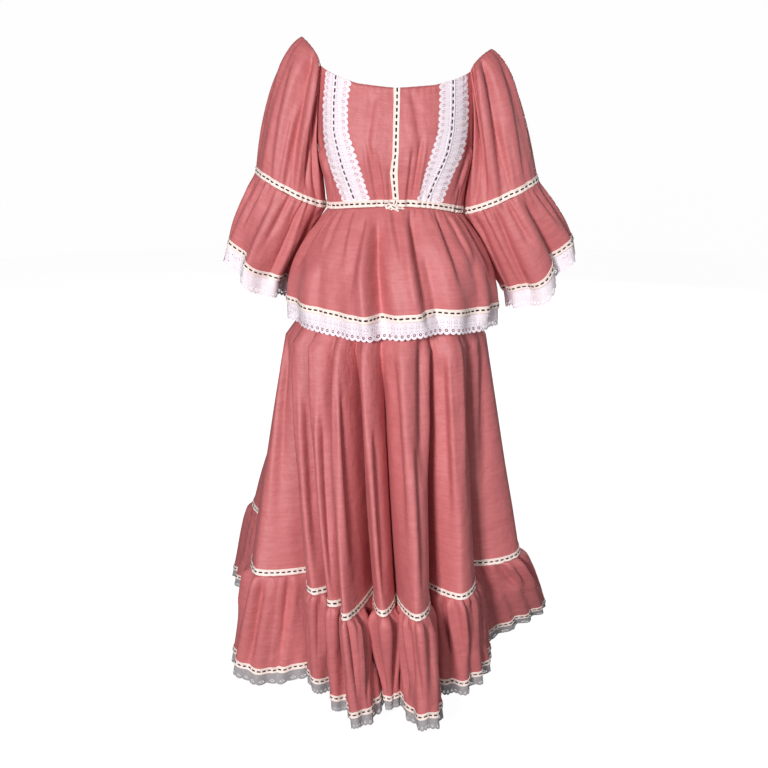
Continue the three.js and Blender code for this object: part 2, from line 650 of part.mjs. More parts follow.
// Bodice, its bands and braids
const bodiceEdges = { up: seam, down: seam, start: seam, end: seam };
const halves = { front: [0, FRONT_COLUMNS], back: [FRONT_COLUMNS, bodiceColumns.length] };
for (const [name, columns] of Object.entries(halves)) {
  cloth(`bodice_${name}`, part(bodice, [0, BODICE_ROWS], columns, bodiceEdges));
  const row = [BODICE_ROWS - 1, BODICE_ROWS];
  braid(`waist_braid_${name}`, part(bodice, row, columns, { ...bodiceEdges, up: GAP, down: 1 }));
}
const bandRows = [0, BODICE_ROWS - 1];
const bandEdges = { down: GAP };
const BAND_EDGES = {
  right: { lace: ["outR", "inR"], braid: ["braidOutR", "braidInR"] },
  left: { lace: ["inL", "outL"], braid: ["braidInL", "braidOutL"] },
};
for (const [name, edges] of Object.entries(BAND_EDGES)) {
  const laceColumns = edges.lace.map(columnOn);
  const braidColumns = edges.braid.map(columnOn);
  lace(`lace_band_${name}`, part(bodice, bandRows, laceColumns, bandEdges), ON_CLOTH + LACE / 2);
  braid(`lace_band_braid_${name}`, part(bodice, bandRows, braidColumns, bandEdges), LACE + GAP);
}
braid("center_braid", part(bodice, bandRows, ["centreR", "centreL"].map(columnOn), bandEdges));

// Sleeves with their flounces
const ELBOW_ROW = SLEEVE_SHARES.length;
const CUFF_ROW = ELBOW_ROW + 4;
sleeves.forEach(({ name, made }) => {
  cloth(`sleeve_${name}`, part(made, [0, ELBOW_ROW], null, { up: seam, down: seam }));
  cloth(`sleeve_flounce_${name}`, part(made, [ELBOW_ROW, CUFF_ROW], null, { up: seam, down: seam }));
  lace(`cuff_lace_${name}`, part(made, [CUFF_ROW, CUFF_ROW + 1], null, { up: seam }));
  braid(`elbow_braid_${name}`, part(made, [ELBOW_ROW - 1, ELBOW_ROW], null, { down: seam }));
  braid(`cuff_braid_${name}`, part(made, [CUFF_ROW - 1, CUFF_ROW], null, { down: seam }));
});

// Peplum, skirt and hem flounce, each in a front and a back half
const sides = { start: seam, end: seam };
const peplum = surface(peplumGrid, true);
const lower = surface(lowerGrid, true);
[...peplum.normals[0], ...lower.normals[0]].forEach((normal) => {
  normal.z = 0;
  normal.normalize();
});
const TIER_ROW = lowerLevels.indexOf(2);
const HEM_ROW = lowerLevels.indexOf(3);
const nearest = (angle) => {
  const gaps = skirtColumnList.map((column) => Math.abs(within(column.tier.angle - angle)));
  return gaps.indexOf(Math.min(...gaps));
};
const count = skirtColumnList.length;
const lowerHalves = { front: [nearest(-90) - count, nearest(90)], back: [nearest(90), nearest(-90)] };
const peplumHalves = { front: [0, PEPLUM_COLUMNS / 2], back: [PEPLUM_COLUMNS / 2, PEPLUM_COLUMNS] };
const PEPLUM_ROW = peplumRows.length - 2;
for (const name of ["front", "back"]) {
  const round = peplumHalves[name];
  cloth(`peplum_${name}`, part(peplum, [0, PEPLUM_ROW], round, { ...sides, up: seam, down: seam }));
  braid(`peplum_braid_${name}`, part(peplum, [PEPLUM_ROW - 1, PEPLUM_ROW], round, { ...sides, down: seam }));
  lace(`peplum_lace_${name}`, part(peplum, [PEPLUM_ROW, PEPLUM_ROW + 1], round, { ...sides, up: seam }));
  const half = lowerHalves[name];
  cloth(`skirt_${name}`, part(lower, [0, TIER_ROW], half, { ...sides, down: angledSeam }));
  braid(`tier_braid_${name}`, part(lower, [TIER_ROW - 1, TIER_ROW], half, { ...sides, down: seam }));
  const flounceEdges = { ...sides, up: angledSeam, down: seam };
  cloth(`hem_flounce_${name}`, part(lower, [TIER_ROW, HEM_ROW], half, flounceEdges));
  braid(`hem_braid_${name}`, part(lower, [HEM_ROW - 1, HEM_ROW], half, { ...sides, down: seam }));
  lace(`hem_lace_${name}`, part(lower, [HEM_ROW, HEM_ROW + 1], half, { ...sides, up: seam }));
}

export default dress;
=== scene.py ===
"""Looks of a long peasant dress of rose cloth: gathered shells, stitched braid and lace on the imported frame.

Sizes are millimetres until a mesh is made. The front faces -Y, and angles round the body start at the
front and turn towards the wearer's left.
"""
import math

import bpy
import numpy as np
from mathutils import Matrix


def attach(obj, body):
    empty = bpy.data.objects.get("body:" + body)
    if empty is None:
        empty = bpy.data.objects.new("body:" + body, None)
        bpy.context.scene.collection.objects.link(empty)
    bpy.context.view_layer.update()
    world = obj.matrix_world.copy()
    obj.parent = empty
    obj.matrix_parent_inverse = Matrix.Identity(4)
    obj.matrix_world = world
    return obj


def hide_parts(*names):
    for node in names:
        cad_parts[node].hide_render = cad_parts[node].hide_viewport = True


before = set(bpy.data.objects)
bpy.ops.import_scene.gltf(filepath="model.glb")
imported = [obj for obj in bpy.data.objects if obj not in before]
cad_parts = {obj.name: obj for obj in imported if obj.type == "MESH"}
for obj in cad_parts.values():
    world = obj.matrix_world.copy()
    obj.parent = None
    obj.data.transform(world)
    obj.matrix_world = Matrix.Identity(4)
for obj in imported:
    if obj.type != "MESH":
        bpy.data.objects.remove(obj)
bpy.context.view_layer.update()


def rows_of(columns, values):
    """A table as a list of rows, each a dictionary by the names of the columns."""
    return [dict(zip(columns, row)) for row in values]


# Thicknesses of what is seen, and the height at which each layer lies on the cloth's middle
CLOTH = 1.3
BRAID_BASE = 0.9
ON_CLOTH = CLOTH / 2 + 0.25
LACE_LIFT = ON_CLOTH + 0.5
BRAID_LIFT = ON_CLOTH + BRAID_BASE / 2
BAND_BRAID_LIFT = LACE_LIFT + 0.9

# Trims
BRAID_WIDTH = 13.5
BAND_BRAID_WIDTH = 10.4
DASH_PITCH = 11.6
DASH_LENGTH = 7.8
DASH_WIDTH = 3.3
PEPLUM_LACE_DROP = 34
CUFF_LACE_DROP = 35
HEM_LACE_DROP = 24

# Cross-sections of the bodice: half width, and the depth in front of and behind the middle
BODY = rows_of(("z", "half", "front", "back"), [
    (0, 150, 74, 78), (-40, 150, 82, 84), (-100, 149, 98, 92), (-150, 150, 114, 96), (-200, 149, 123, 96),
    (-250, 140, 113, 92), (-300, 131, 99, 88), (-335, 128, 96, 86),
])
BODY_SQUARENESS = 2.4
NECKLINE = rows_of(("angle", "z"), [
    (-180, -114), (-140, -104), (-116, -74), (-66, -50), (-45, -66), (-24, -81), (0, -89), (24, -84),
    (45, -73), (66, -60), (116, -80), (140, -106), (180, -114),
])
ARMPIT_Z = -190
CORNER_FRONT = 66
CORNER_BACK = 116
WAIST = {"front": -303, "back": -312, "right": -315, "left": -324}
BANDS = rows_of(("z", "outR", "midR", "inR", "centre", "inL", "midL", "outL"), [
    (-60, -57, -43, -27, 0.4, 27.5, 40, 59), (-115, -62, -45.5, -31.5, 0.3, 27.4, 40, 62),
    (-165, -62, -45.5, -31, 0, 26, 38.5, 61), (-205, -60, -41.5, -25.5, -0.2, 21.2, 35, 56),
    (-240, -56, -37.5, -21.5, -1, 17.5, 29.5, 46.5), (-300, -44.5, -29.5, -15.5, 0.3, 12, 20.5, 37),
])

# Levels of the skirt, and its crests and valleys as angles and distances at the hip, tier seam and hem
HIP = {"z": -565, "middle": -17, "rise": 0}
TIER = {"z": -1057, "middle": -15, "rise": 75}
HEM = {"z": -1265, "middle": 0, "rise": 90}
SKIRT_LINES = rows_of(("hipA", "hipR", "tierA", "tierR", "hemA", "hemR", "sag"), [
    (-82, 203, -64, 300, -68, 353, 13), (-70, 192, -53, 182, -54, 212, 0),
    (-62, 203, -37, 246, -44, 244, 4), (-53, 184, -31, 184, -34, 186, 0), (-45, 202, -25, 264, -27, 262, 3),
    (-35, 180, -20, 244, -22, 252, 5), (-28, 200, -15.5, 303, -14.5, 298, 3),
    (-21, 166, -9.5, 172, -6.5, 206, 0), (-12, 198, -2, 274, -2, 232, 0), (-4, 168, 4.5, 210, 2.5, 206, 6),
    (11, 200, 11, 297, 12, 301, 9), (30, 166, 26, 172, 27, 190, 4), (41, 200, 34.5, 262, 42, 232, 3),
    (59, 184, 60, 196, 80, 204, -16), (84, 200, 79, 281, 104, 347, 6), (104, 182, 106, 224, 118, 256, 4),
    (121, 200, 126, 302, 129, 372, 8), (136, 176, 141, 206, 142, 242, 3), (150, 196, 155, 300, 156, 364, 7),
    (164, 174, 169, 204, 170, 236, 5), (178, 194, 183, 296, 184, 356, 9), (194, 174, 198, 208, 198, 246, 3),
    (209, 198, 213, 326, 212, 396, 6), (223, 180, 223, 250, 222, 300, 4), (237, 204, 238, 352, 233, 452, 0),
    (257, 188, 261, 226, 258, 262, 0),
])
UNDER_PEPLUM = 0.972
HELD_IN = 0.14

# Peplum
PEPLUM_HEM = {"z": -490, "left": 214, "right": 222, "front": 194, "back": 192}
PEPLUM_FOLDS = rows_of(("top", "hem", "width", "depth"), [
    (-168, -165, 12, 9), (-135, -136, 12, 8), (-97, -97, 28, 33), (-66, -63, 9, 7), (-36, -30, 9, 8),
    (-20, -5, 8, 12), (14, 22, 9, 14), (34, 42, 9, 7), (58, 64, 10, 8), (95, 97, 27, 32), (134, 135, 12, 8),
    (164, 166, 11, 9),
])
PEPLUM_DROP = rows_of(("angle", "drop"), [
    (-180, 0), (-84, -4), (-62, 2), (-42, 9), (-22, 17), (-4, 16), (14, 10), (26, 4), (36, 12), (60, 12),
    (90, 18), (140, 4), (180, 0),
])

# Sleeves
SLEEVES = {
    "right": {
        "side": -1,
        "shoulder": (176, 2),
        "lean": 0.11,
        "elbow": {"x": 208, "y": 6, "z": -282, "lean": 28, "across": 70, "deep": 61},
        "cuff": {"x": 277, "y": 34, "z": -424, "lean": 33, "across": 67, "deep": 82},
        "waves": 7,
        "turn": 0.4,
        "drop": 15,
        "fold": 14,
    },
    "left": {
        "side": 1,
        "shoulder": (180, -20),
        "lean": 0.24,
        "elbow": {"x": 210, "y": 6, "z": -296, "lean": 25, "across": 74.5, "deep": 62},
        "cuff": {"x": 290, "y": 34, "z": -434, "lean": 38, "across": 82, "deep": 82},
        "waves": 7,
        "turn": 1.5,
        "drop": 26,
        "fold": 26,
    },
}
SLEEVE_FOLDS = rows_of(("angle", "width", "depth"), [
    (62, 15, 7), (106, 13, 5), (150, 14, 4), (212, 15, 6), (262, 15, 6), (305, 14, 5),
])
CUFF_WAVE = 7
CUFF_FRONT = {"angle": 92, "inward": 65, "outward": 34}
CUFF_FOLD = {"angle": 128, "width": 30}
SHOULDER_ARCH = {"out": 1.2, "up": 0.8}
FRONT_CORNER_TURN = 78
SEAM_SHARE = 7 / 26

# How many gathers lie beside the tier seam and how many ruffles run along the hem, all round
TIER_GATHERS = 150
BODICE_GATHERS = 78
PEPLUM_GATHERS = 69
HEM_RUFFLES = 74


def lerp(low, high, share):
    return low + (high - low) * share


def read(table, key, value, column):
    rows = sorted(table, key=lambda row: row[key])
    return np.interp(value, [row[key] for row in rows], [row[column] for row in rows])


def within(angle):
    return (np.asarray(angle, float) + 180) % 360 - 180


def power(value, exponent):
    return np.sign(value) * np.abs(value) ** exponent


def bump(offset, width):
    return np.where(np.abs(offset) < width, (1 + np.cos(np.pi * offset / width)) / 2, 0)


WOBBLE_PACES = (0.37, 0.83, 1.31, 2.17)


def wobble(along, seed):
    """A smooth uneven wave between about -1 and 1, the same for the same seed."""
    total = 0
    for k, pace in enumerate(WOBBLE_PACES):
        total = total + np.sin(along * pace + seed * (1.7 + k) + k * k) / (1 + 0.6 * k)
    return total / 2.4


def round_wobble(along, turn, scale, seed, shift=0):
    """The same kind of wave, with whole waves in a turn, so that it meets itself all round."""
    total = 0
    for k, pace in enumerate(WOBBLE_PACES):
        waves = max(1, round(pace * turn / scale / (2 * math.pi)))
        phase = 2 * np.pi * waves * along / turn + pace * shift
        total = total + np.sin(phase + seed * (1.7 + k) + k * k) / (1 + 0.6 * k)
    return total / 2.4


# The bodice

def waist_height(angle):
    turn = np.radians(angle)
    side = np.where(np.sin(turn) > 0, WAIST["left"], WAIST["right"])
    end = np.where(np.cos(turn) > 0, WAIST["front"], WAIST["back"])
    return side * np.sin(turn) ** 2 + end * np.cos(turn) ** 2


BODY_TAPS = (-30, -20, -10, 0, 10, 20, 30)


def body_size(z, column):
    """A column of the body's table, averaged over the heights beside z."""
    return sum(read(BODY, "z", z + tap, column) for tap in BODY_TAPS) / len(BODY_TAPS)


def on_body(z, angle):
    turn = np.radians(angle)
    depth = np.where(np.cos(turn) > 0, body_size(z, "front"), body_size(z, "back"))
    x = body_size(z, "half") * power(np.sin(turn), 2 / BODY_SQUARENESS)
    y = -depth * power(np.cos(turn), 2 / BODY_SQUARENESS)
    return np.stack([x, y, z + 0 * x], axis=-1)


def top_edge(angle):
    angle = within(angle)
    size = np.abs(angle)
    corner = np.where(size < 90, CORNER_FRONT, CORNER_BACK)
    reach = np.clip((size - corner) / (90 - corner), 0, 1)
    neck = read(NECKLINE, "angle", angle, "z")
    at_corner = read(NECKLINE, "angle", np.sign(angle) * corner, "z")
    arm = lerp(at_corner, ARMPIT_Z, 1 - (1 - reach) ** 1.5)
    return np.where((size <= CORNER_FRONT) | (size >= CORNER_BACK), neck, arm)


# Creases of the bodice: angles at their two ends, shares of the way down, half width in degrees, depth
BODICE_CREASES = rows_of(("start", "end", "high", "low", "width", "depth"), [
    (9, 4, 0.45, 1.25, 2.2, 5), (15.5, 8, 0.36, 1.25, -2.6, 6.5), (-10.5, -4.5, 0.5, 1.25, -2.2, 5),
    (-17, -9.5, 0.42, 1.25, 2.4, 5), (-3.5, -3, 0.6, 1.2, 1.8, 3), (8, 15, 0.02, 0.55, 5, 3.5),
    (-12, -19, 0.05, 0.65, -5, 3.5), (-78, -56, 0.28, 0.9, 5, 7), (-84, -72, 0.4, 1.1, -4, 5),
    (76, 52, 0.28, 0.95, -5, 7), (83, 68, 0.35, 1.1, 4, 5), (62, 48, 0.75, 1.3, 3, 3),
    (-66, -54, 0.7, 1.3, -3, 3), (112, 122, 0.3, 1.1, 5, 6), (134, 142, 0.5, 1.25, -4, 6),
    (152, 158, 0.4, 1.25, 3.6, 5), (172, 170, 0.55, 1.25, -3.4, 4), (186, 183, 0.5, 1.25, 3.6, 5),
    (204, 198, 0.35, 1.25, -4, 6), (226, 216, 0.5, 1.25, 3.6, 5), (248, 238, 0.3, 1.1, -5, 6),
])


# The lace bands hold the cloth flat on both sides of the front
BAND_ANGLE = 40
BAND_REACH = 30


def bodice_relief(angle, z, down):
    """Soft gathers that rise from the waist seam and fall from the neckline."""
    above_waist = z - waist_height(angle)
    below_neck = top_edge(angle) - z
    fine = np.sin(2 * np.pi * angle / (360 / BODICE_GATHERS) + 1.6 * round_wobble(angle, 360, 9, 1))
    fine = fine * (1 - 0.85 * bump(np.abs(within(angle)) - BAND_ANGLE, BAND_REACH))
    low = 1.5 * fine * np.exp(-above_waist / 22)
    high = 0.9 * fine * np.exp(-np.clip(below_neck, 0, None) / 16)
    long = 1.8 * round_wobble(angle, 360, 5, 2) * np.exp(-((above_waist - 45) / 50) ** 2)
    return low + high + long - creased(angle, down, BODICE_CREASES, 360)


# A surface is a function from an angle or column, and a depth down the cloth, to points

def normals_of(points):
    across = np.gradient(points, axis=1)
    down = np.gradient(points, axis=0)
    normal = np.cross(down, across)
    return normal / np.maximum(np.linalg.norm(normal, axis=2, keepdims=True), 1e-9)


def lifted(surface, across, down, lift, steps=(0.15, 0.004)):
    """Points of a surface at a grid of places, moved out along its normal."""
    side = surface(across + steps[0], down) - surface(across - steps[0], down)
    fall = surface(across, down + steps[1]) - surface(across, down - steps[1])
    normal = np.cross(fall, side)
    normal /= np.maximum(np.linalg.norm(normal, axis=-1, keepdims=True), 1e-9)
    return surface(across, down) + normal * np.asarray(lift)[..., None]


def bodice(angle, down):
    """down is 0 at the top edge and 1 at the waist seam."""
    top = top_edge(angle)
    z = lerp(top, waist_height(angle), down)
    base = on_body(z, angle)
    flat = on_body(z, angle) * [1, 1, 0]
    out = flat / np.linalg.norm(flat, axis=-1, keepdims=True)
    return base + out * bodice_relief(angle, z, down)[..., None]


# The skirt and its hem flounce

def round_crest(share):
    return 0.35 * (1 - np.cos(np.pi * share)) / 2 + 0.65 * (1 - np.cos(np.pi / 2 * share))


def line_values(column, name):
    """Angle and distance of a column at one level, eased from crest to valley."""
    count = len(SKIRT_LINES)
    whole = np.floor(column)
    share = column - whole
    index = whole.astype(int) % count
    turns = 360 * np.floor(whole / count)
    angles = np.array([line[name + "A"] for line in SKIRT_LINES] + [SKIRT_LINES[0][name + "A"] + 360], float)
    radii = np.array([line[name + "R"] for line in SKIRT_LINES] + [SKIRT_LINES[0][name + "R"]], float)
    eased = np.where(index % 2, 1 - round_crest(1 - share), round_crest(share))
    return lerp(angles[index], angles[index + 1], share) + turns, lerp(radii[index], radii[index + 1], eased)


SOFTEN = [(-0.12, 0.2), (-0.05, 0.2), (0, 0.2), (0.05, 0.2), (0.12, 0.2)]


def column_at(column, name):
    angle, radius = line_values(column, name)
    soft = sum(weight * line_values(column + step, name)[1] for step, weight in SOFTEN)
    return angle, lerp(radius, soft, 0.85)


def level_height(level, angle, sag=0):
    return level["z"] - sag + level["rise"] * (1 - np.cos(np.radians(angle))) / 2


def sag_at(column):
    sags = np.array([line["sag"] for line in SKIRT_LINES], float)
    return sags[np.floor(column).astype(int) % len(SKIRT_LINES)] * np.sin(np.pi * (column - np.floor(column)))


def skirt_form(column, level):
    """level is 0 at the waist, 1 at the hip, 2 at the tier seam and 3 at the hem."""
    column, level = np.broadcast_arrays(np.asarray(column, float), np.asarray(level, float))
    hip, tier, hem = (column_at(column, name) for name in ("hip", "tier", "hem"))
    heights = [level_height(HIP, hip[0]), level_height(TIER, tier[0])]
    heights.append(level_height(HEM, hem[0], sag_at(column)))

    def mixed(low, high, low_rule, high_rule, low_z, high_z, share):
        turn = np.radians(lerp(low[0], high[0], share))
        radius = lerp(low[1], high[1], share)
        middle = lerp(low_rule["middle"], high_rule["middle"], share)
        z = lerp(low_z, high_z, share)
        return np.stack([middle + radius * np.sin(turn), -radius * np.cos(turn), z], axis=-1)

    below = mixed(tier, hem, TIER, HEM, heights[1], heights[2], level - 2)
    above = mixed(hip, tier, HIP, TIER, heights[0], heights[1], np.clip(level - 1, 0, None))
    hip_turn = np.radians(hip[0])
    hip_place = np.stack([
        HIP["middle"] + hip[1] * np.sin(hip_turn),
        -hip[1] * np.cos(hip_turn),
        heights[0],
    ], axis=-1)
    top = on_body(waist_height(hip[0]), hip[0])
    top = top * [UNDER_PEPLUM, UNDER_PEPLUM, 1] - [0, 0, 1]
    share = np.clip(level, 0, 1)[..., None]
    held = 1 - HELD_IN * np.sin(np.pi * share)
    hidden = lerp(top, hip_place, share) * np.concatenate([held, held, np.ones_like(held)], axis=-1)
    return np.where((level > 2)[..., None], below, np.where((level > 1)[..., None], above, hidden))


NORMAL_REACH = 0.16
NORMAL_OUTWARD = 0.3


def unit(vectors):
    return vectors / np.maximum(np.linalg.norm(vectors, axis=-1, keepdims=True), 1e-9)


def skirt(column, level):
    """The skirt's form with its folds pressed in and its gathers raised along the cloth's own normal."""
    column, level = np.broadcast_arrays(np.asarray(column, float), np.asarray(level, float))
    points = skirt_form(column, level)
    out = unit(points * [1, 1, 0])
    along = skirt_form(column + NORMAL_REACH, level) - skirt_form(column - NORMAL_REACH, level)
    away = unit(np.stack([along[..., 1], -along[..., 0], 0 * level], axis=-1))
    away = unit(away + NORMAL_OUTWARD * out)
    raised = away * skirt_relief(column, level)[..., None]
    return points + raised - out * valley_depth(column, level)[..., None]


def valley_depth(column, level):
    """The valleys between crests are pressed in further than their lines say."""
    nearest = np.floor(column + 0.5)
    beside = column - nearest
    valley = np.where(nearest % 2 == 1, 8 * bump(beside, 0.5) + 20 * np.exp(-(beside / 0.15) ** 2), 0)
    return valley * np.clip((level - 0.95) * 4, 0, 1) * np.clip((2.4 - level) * 2, 0.3, 1)


ALONG_STEPS = 4000


def along_cloth(name, rule):
    """Millimetres along a level of the skirt at each column, so gathers are evenly spaced on the cloth."""
    count = len(SKIRT_LINES)
    columns = np.linspace(0, count, ALONG_STEPS)
    angle, radius = line_values(columns, name)
    turn = np.radians(angle)
    places = np.stack([rule["middle"] + radius * np.sin(turn), -radius * np.cos(turn)], axis=-1)
    length = np.concatenate([[0], np.cumsum(np.linalg.norm(np.diff(places, axis=0), axis=1))])

    def measure(column):
        whole = np.floor(column / count)
        return np.interp(column - whole * count, columns, length) + whole * length[-1]

    return measure, length[-1]


TIER_ALONG, TIER_LENGTH = along_cloth("tier", TIER)
HEM_ALONG, HEM_LENGTH = along_cloth("hem", HEM)

# Creases of the skirt: lines from and to a column between two levels, half width in columns, depth
SKIRT_CREASES = rows_of(("start", "end", "high", "low", "width", "depth"), [
    (10.58, 10.35, 0.9, 1.55, -0.22, 15.3), (0.35, 0.5, 0.95, 1.9, 0.19, 8.5),
    (1.55, 1.7, 1.0, 1.6, -0.27, 8.5), (2.55, 2.35, 1.15, 2.0, 0.27, 8.5),
    (3.6, 3.45, 0.9, 1.5, -0.27, 8.5), (4.45, 4.3, 1.2, 2.0, 0.30, 10.2), (5.5, 5.35, 1.0, 1.7, -0.27, 8.5),
    (6.3, 6.5, 1.1, 1.95, 0.20, 8.5), (7.55, 7.65, 0.95, 1.6, -0.27, 8.5),
    (8.35, 8.2, 1.25, 2.0, 0.27, 10.2), (9.5, 9.65, 0.95, 1.8, -0.27, 10.2),
    (10.15, 10.2, 1.3, 2.0, 0.14, 8.5), (11.45, 11.6, 1.0, 1.75, -0.20, 10.2),
    (12.4, 12.3, 0.95, 1.6, 0.18, 10.2), (12.8, 13.1, 1.2, 1.95, -0.19, 8.5),
    (13.5, 13.3, 0.95, 1.7, 0.19, 10.2), (14.5, 14.3, 1.0, 1.8, -0.27, 8.5),
    (15.6, 15.7, 0.95, 1.6, 0.27, 10.2), (16.4, 16.3, 1.2, 2.0, -0.27, 8.5),
    (17.7, 17.5, 1.0, 1.7, 0.27, 10.2), (18.4, 18.5, 1.3, 2.0, -0.27, 8.5),
    (19.5, 19.7, 0.95, 1.5, 0.27, 10.2), (20.3, 20.5, 1.1, 1.9, -0.27, 8.5),
    (21.6, 21.4, 1.0, 1.6, 0.27, 10.2), (22.4, 22.3, 1.2, 2.0, -0.27, 8.5),
    (23.5, 23.7, 0.95, 1.7, 0.27, 10.2), (24.5, 24.4, 1.1, 1.9, -0.27, 10.2),
    (25.5, 25.6, 1.0, 1.8, 0.22, 8.5),
])


def fold_shape(offset):
    """A valley that is steep on one side and gentle on the other, with a ridge on its steep side."""
    side = np.where(offset < 0, 2.3, 1.0)
    return np.exp(-(offset * side) ** 2) - 0.45 * np.exp(-((offset + 0.95) * 1.7) ** 2)


def creased(place, down, table, repeat):
    """How far in all the creases of a table press at a place."""
    pressed = 0
    for row in table:
        share = (down - row["high"]) / (row["low"] - row["high"])
        line = lerp(row["start"], row["end"], share)
        apart = (place - line + repeat / 2) % repeat - repeat / 2
        fade = np.clip(share * 5, 0, 1) * np.clip((1 - share) * 2.2, 0, 1)
        fade = fade * fade * (3 - 2 * fade)
        pressed = pressed + row["depth"] * fade * fold_shape(apart / row["width"])
    return pressed


FLOUNCE_CREASES = 62


def flounce_creases():
    """Uneven creases that start in the tier seam and run part of the way down the flounce."""
    columns = np.linspace(0, len(SKIRT_LINES), ALONG_STEPS)
    lengths = TIER_ALONG(columns)
    rows = []
    for k in range(FLOUNCE_CREASES):
        place = (k + 0.5 + 0.35 * wobble(k, 21)) / FLOUNCE_CREASES * TIER_LENGTH
        column = float(np.interp(place, lengths, columns))
        to_valley = abs(column % 2 - 1)
        if to_valley < 0.16:
            continue
        per_column = float(TIER_ALONG(column + 0.15) - TIER_ALONG(column - 0.15)) / 0.3
        rows.append({
            "start": column,
            "end": column + 8 * wobble(k, 22) / per_column,
            "high": 1.97,
            "low": 2.85 + 0.45 * wobble(k, 23),
            "width": (10 + 3 * wobble(k, 24)) / per_column * (1 if k % 3 else -1),
            "depth": (10.5 + 3.5 * wobble(k, 25)) * min(1.7, max(0.6, per_column / 90)),
        })
    return rows


FLOUNCE_TABLE = flounce_creases()


def gathered(phase):
    """Gathers between -1 and 1 with round tops and sharp valleys."""
    return 2 * np.abs(np.sin(phase / 2)) ** 0.8 - 1


def skirt_relief(column, level):
    """Secondary folds down the skirt, gathers beside the tier seam and ruffles down the flounce."""
    count = len(SKIRT_LINES)
    tier_mm = TIER_ALONG(column)
    hem_mm = HEM_ALONG(column)
    long = 2.2 * round_wobble(tier_mm, TIER_LENGTH, 34, 3) * np.clip((level - 0.9) * 3, 0, 1)
    long = long * np.clip((2.0 - level) * 5, 0.25, 1)
    pressed = creased(column, level, SKIRT_CREASES, count)
    pressed = pressed + np.where(level > 2, creased(column, level, FLOUNCE_TABLE, count), 0)
    turn = 2 * np.pi * TIER_GATHERS * tier_mm / TIER_LENGTH
    fine = gathered(turn + 2.4 * round_wobble(tier_mm, TIER_LENGTH, 27, 4))
    broad = gathered(turn / 2 + 2.6 * round_wobble(tier_mm, TIER_LENGTH, 45, 12) + 1)
    broad = broad * (0.8 + 0.7 * round_wobble(tier_mm, TIER_LENGTH, 60, 17))
    above = np.clip(2 - level, 0, None) * (HIP["z"] - TIER["z"])
    below = np.clip(level - 2, 0, None) * (TIER["z"] - HEM["z"])
    below_seam = 4.2 * np.exp(-below / 60) * np.clip(below / 8, 0.3, 1)
    puckers = np.where(level < 2, 0.9 * np.exp(-above / 14), below_seam)
    tucks = np.where(level < 2, 0, 9 * np.exp(-((below - 60) / 90) ** 2) * np.clip(below / 16, 0, 1))
    nearest = np.floor(column + 0.5)
    clear = 1 - 0.6 * (nearest % 2) * np.exp(-((column - nearest) / 0.3) ** 2)
    swell = np.where(level < 2, 0, 6 * (1 - np.exp(-below / 14)) * np.exp(-below / 110))
    drift = 1.9 * round_wobble(hem_mm, HEM_LENGTH, 70, 5)
    ruffle = np.sin(2 * np.pi * HEM_RUFFLES * hem_mm / HEM_LENGTH + drift)
    uneven = 1 + 0.5 * round_wobble(hem_mm, HEM_LENGTH, 90, 6)
    depth = 5.5 * np.clip((level - 2.1) / 0.9, 0, 1.2) ** 0.9 * uneven
    return long - pressed + swell + (fine * puckers + broad * tucks + ruffle * depth) * clear


# The peplum

def peplum(angle, down):
    """down is 0 at the waist and 1 at the hem, and past 1 it rises by 1 in 100 mm of lace."""
    angle, down = np.broadcast_arrays(np.asarray(angle, float), np.asarray(down, float))
    turn = np.radians(angle)
    top = on_body(waist_height(angle), angle)
    half = np.where(np.sin(turn) > 0, PEPLUM_HEM["left"], PEPLUM_HEM["right"])
    deep = np.where(np.cos(turn) > 0, PEPLUM_HEM["front"], PEPLUM_HEM["back"])
    hem_z = PEPLUM_HEM["z"] - smooth_drop(angle)
    share = np.clip(down, 0, 1)
    flare = np.sin(np.pi / 2 * share) ** 0.85
    inward = 0
    for fold in PEPLUM_FOLDS:
        middle = lerp(fold["top"], fold["hem"], share)
        inward = inward + fold["depth"] * share ** 0.7 * bump(within(angle - middle), fold["width"])
    across = lerp(np.abs(top[..., 0]), half * np.abs(np.sin(turn)), flare)
    fore = lerp(np.abs(top[..., 1]), deep * np.abs(np.cos(turn)), flare)
    size = np.hypot(across, fore)
    tuck = 1 - (inward - peplum_relief(angle, down)) / size
    z = lerp(top[..., 2], hem_z, share) - np.clip(down - 1, 0, None) * 100
    return np.stack([np.sign(np.sin(turn)) * across * tuck, -np.sign(np.cos(turn)) * fore * tuck, z], axis=-1)


def smooth_drop(angle):
    steps = (-9, -4.5, 0, 4.5, 9)
    return sum(read(PEPLUM_DROP, "angle", within(angle + step), "drop") for step in steps) / len(steps)


# Creases of the peplum: angles at their two ends, shares of the way down, half width in degrees, depth
PEPLUM_CREASES = rows_of(("start", "end", "high", "low", "width", "depth"), [
    (-12.5, -6.5, -0.02, 1.7, 6, 22), (7.5, 19, -0.02, 1.35, 5.5, 20), (17, 30, 0.3, 1.6, 7, 9),
    (-20, -25, 0.05, 0.95, -6, 8), (-33, -31, -0.02, 0.55, -3.5, 4), (-47, -42, 0.0, 0.5, 3.5, 4),
    (-60, -69, -0.02, 0.7, -5, 6), (-44, -40, 0.45, 1.5, 9, 7), (-2, 4, -0.02, 0.55, 3, 6),
    (28, 38, -0.02, 0.8, 4.5, 8), (41, 49, -0.02, 0.55, -3.5, 5), (52, 45, 0.35, 1.5, -8, 9),
    (61, 70, -0.02, 0.8, 5, 7), (-78, -82, 0.1, 0.9, -5, 6), (80, 85, 0.05, 0.95, 5, 6),
    (112, 108, -0.02, 0.7, 4, 8), (127, 134, -0.02, 0.9, -5, 10), (146, 141, 0.3, 1.4, 6, 8),
    (158, 165, -0.02, 0.8, 4, 9), (176, 180, 0.1, 1.2, -6, 9), (191, 195, -0.02, 0.8, 4, 9),
    (205, 201, 0.2, 1.4, 6, 8), (221, 226, -0.02, 0.7, -4, 9), (240, 234, -0.02, 0.9, 5, 8),
    (256, 261, 0.1, 0.9, -5, 7),
])


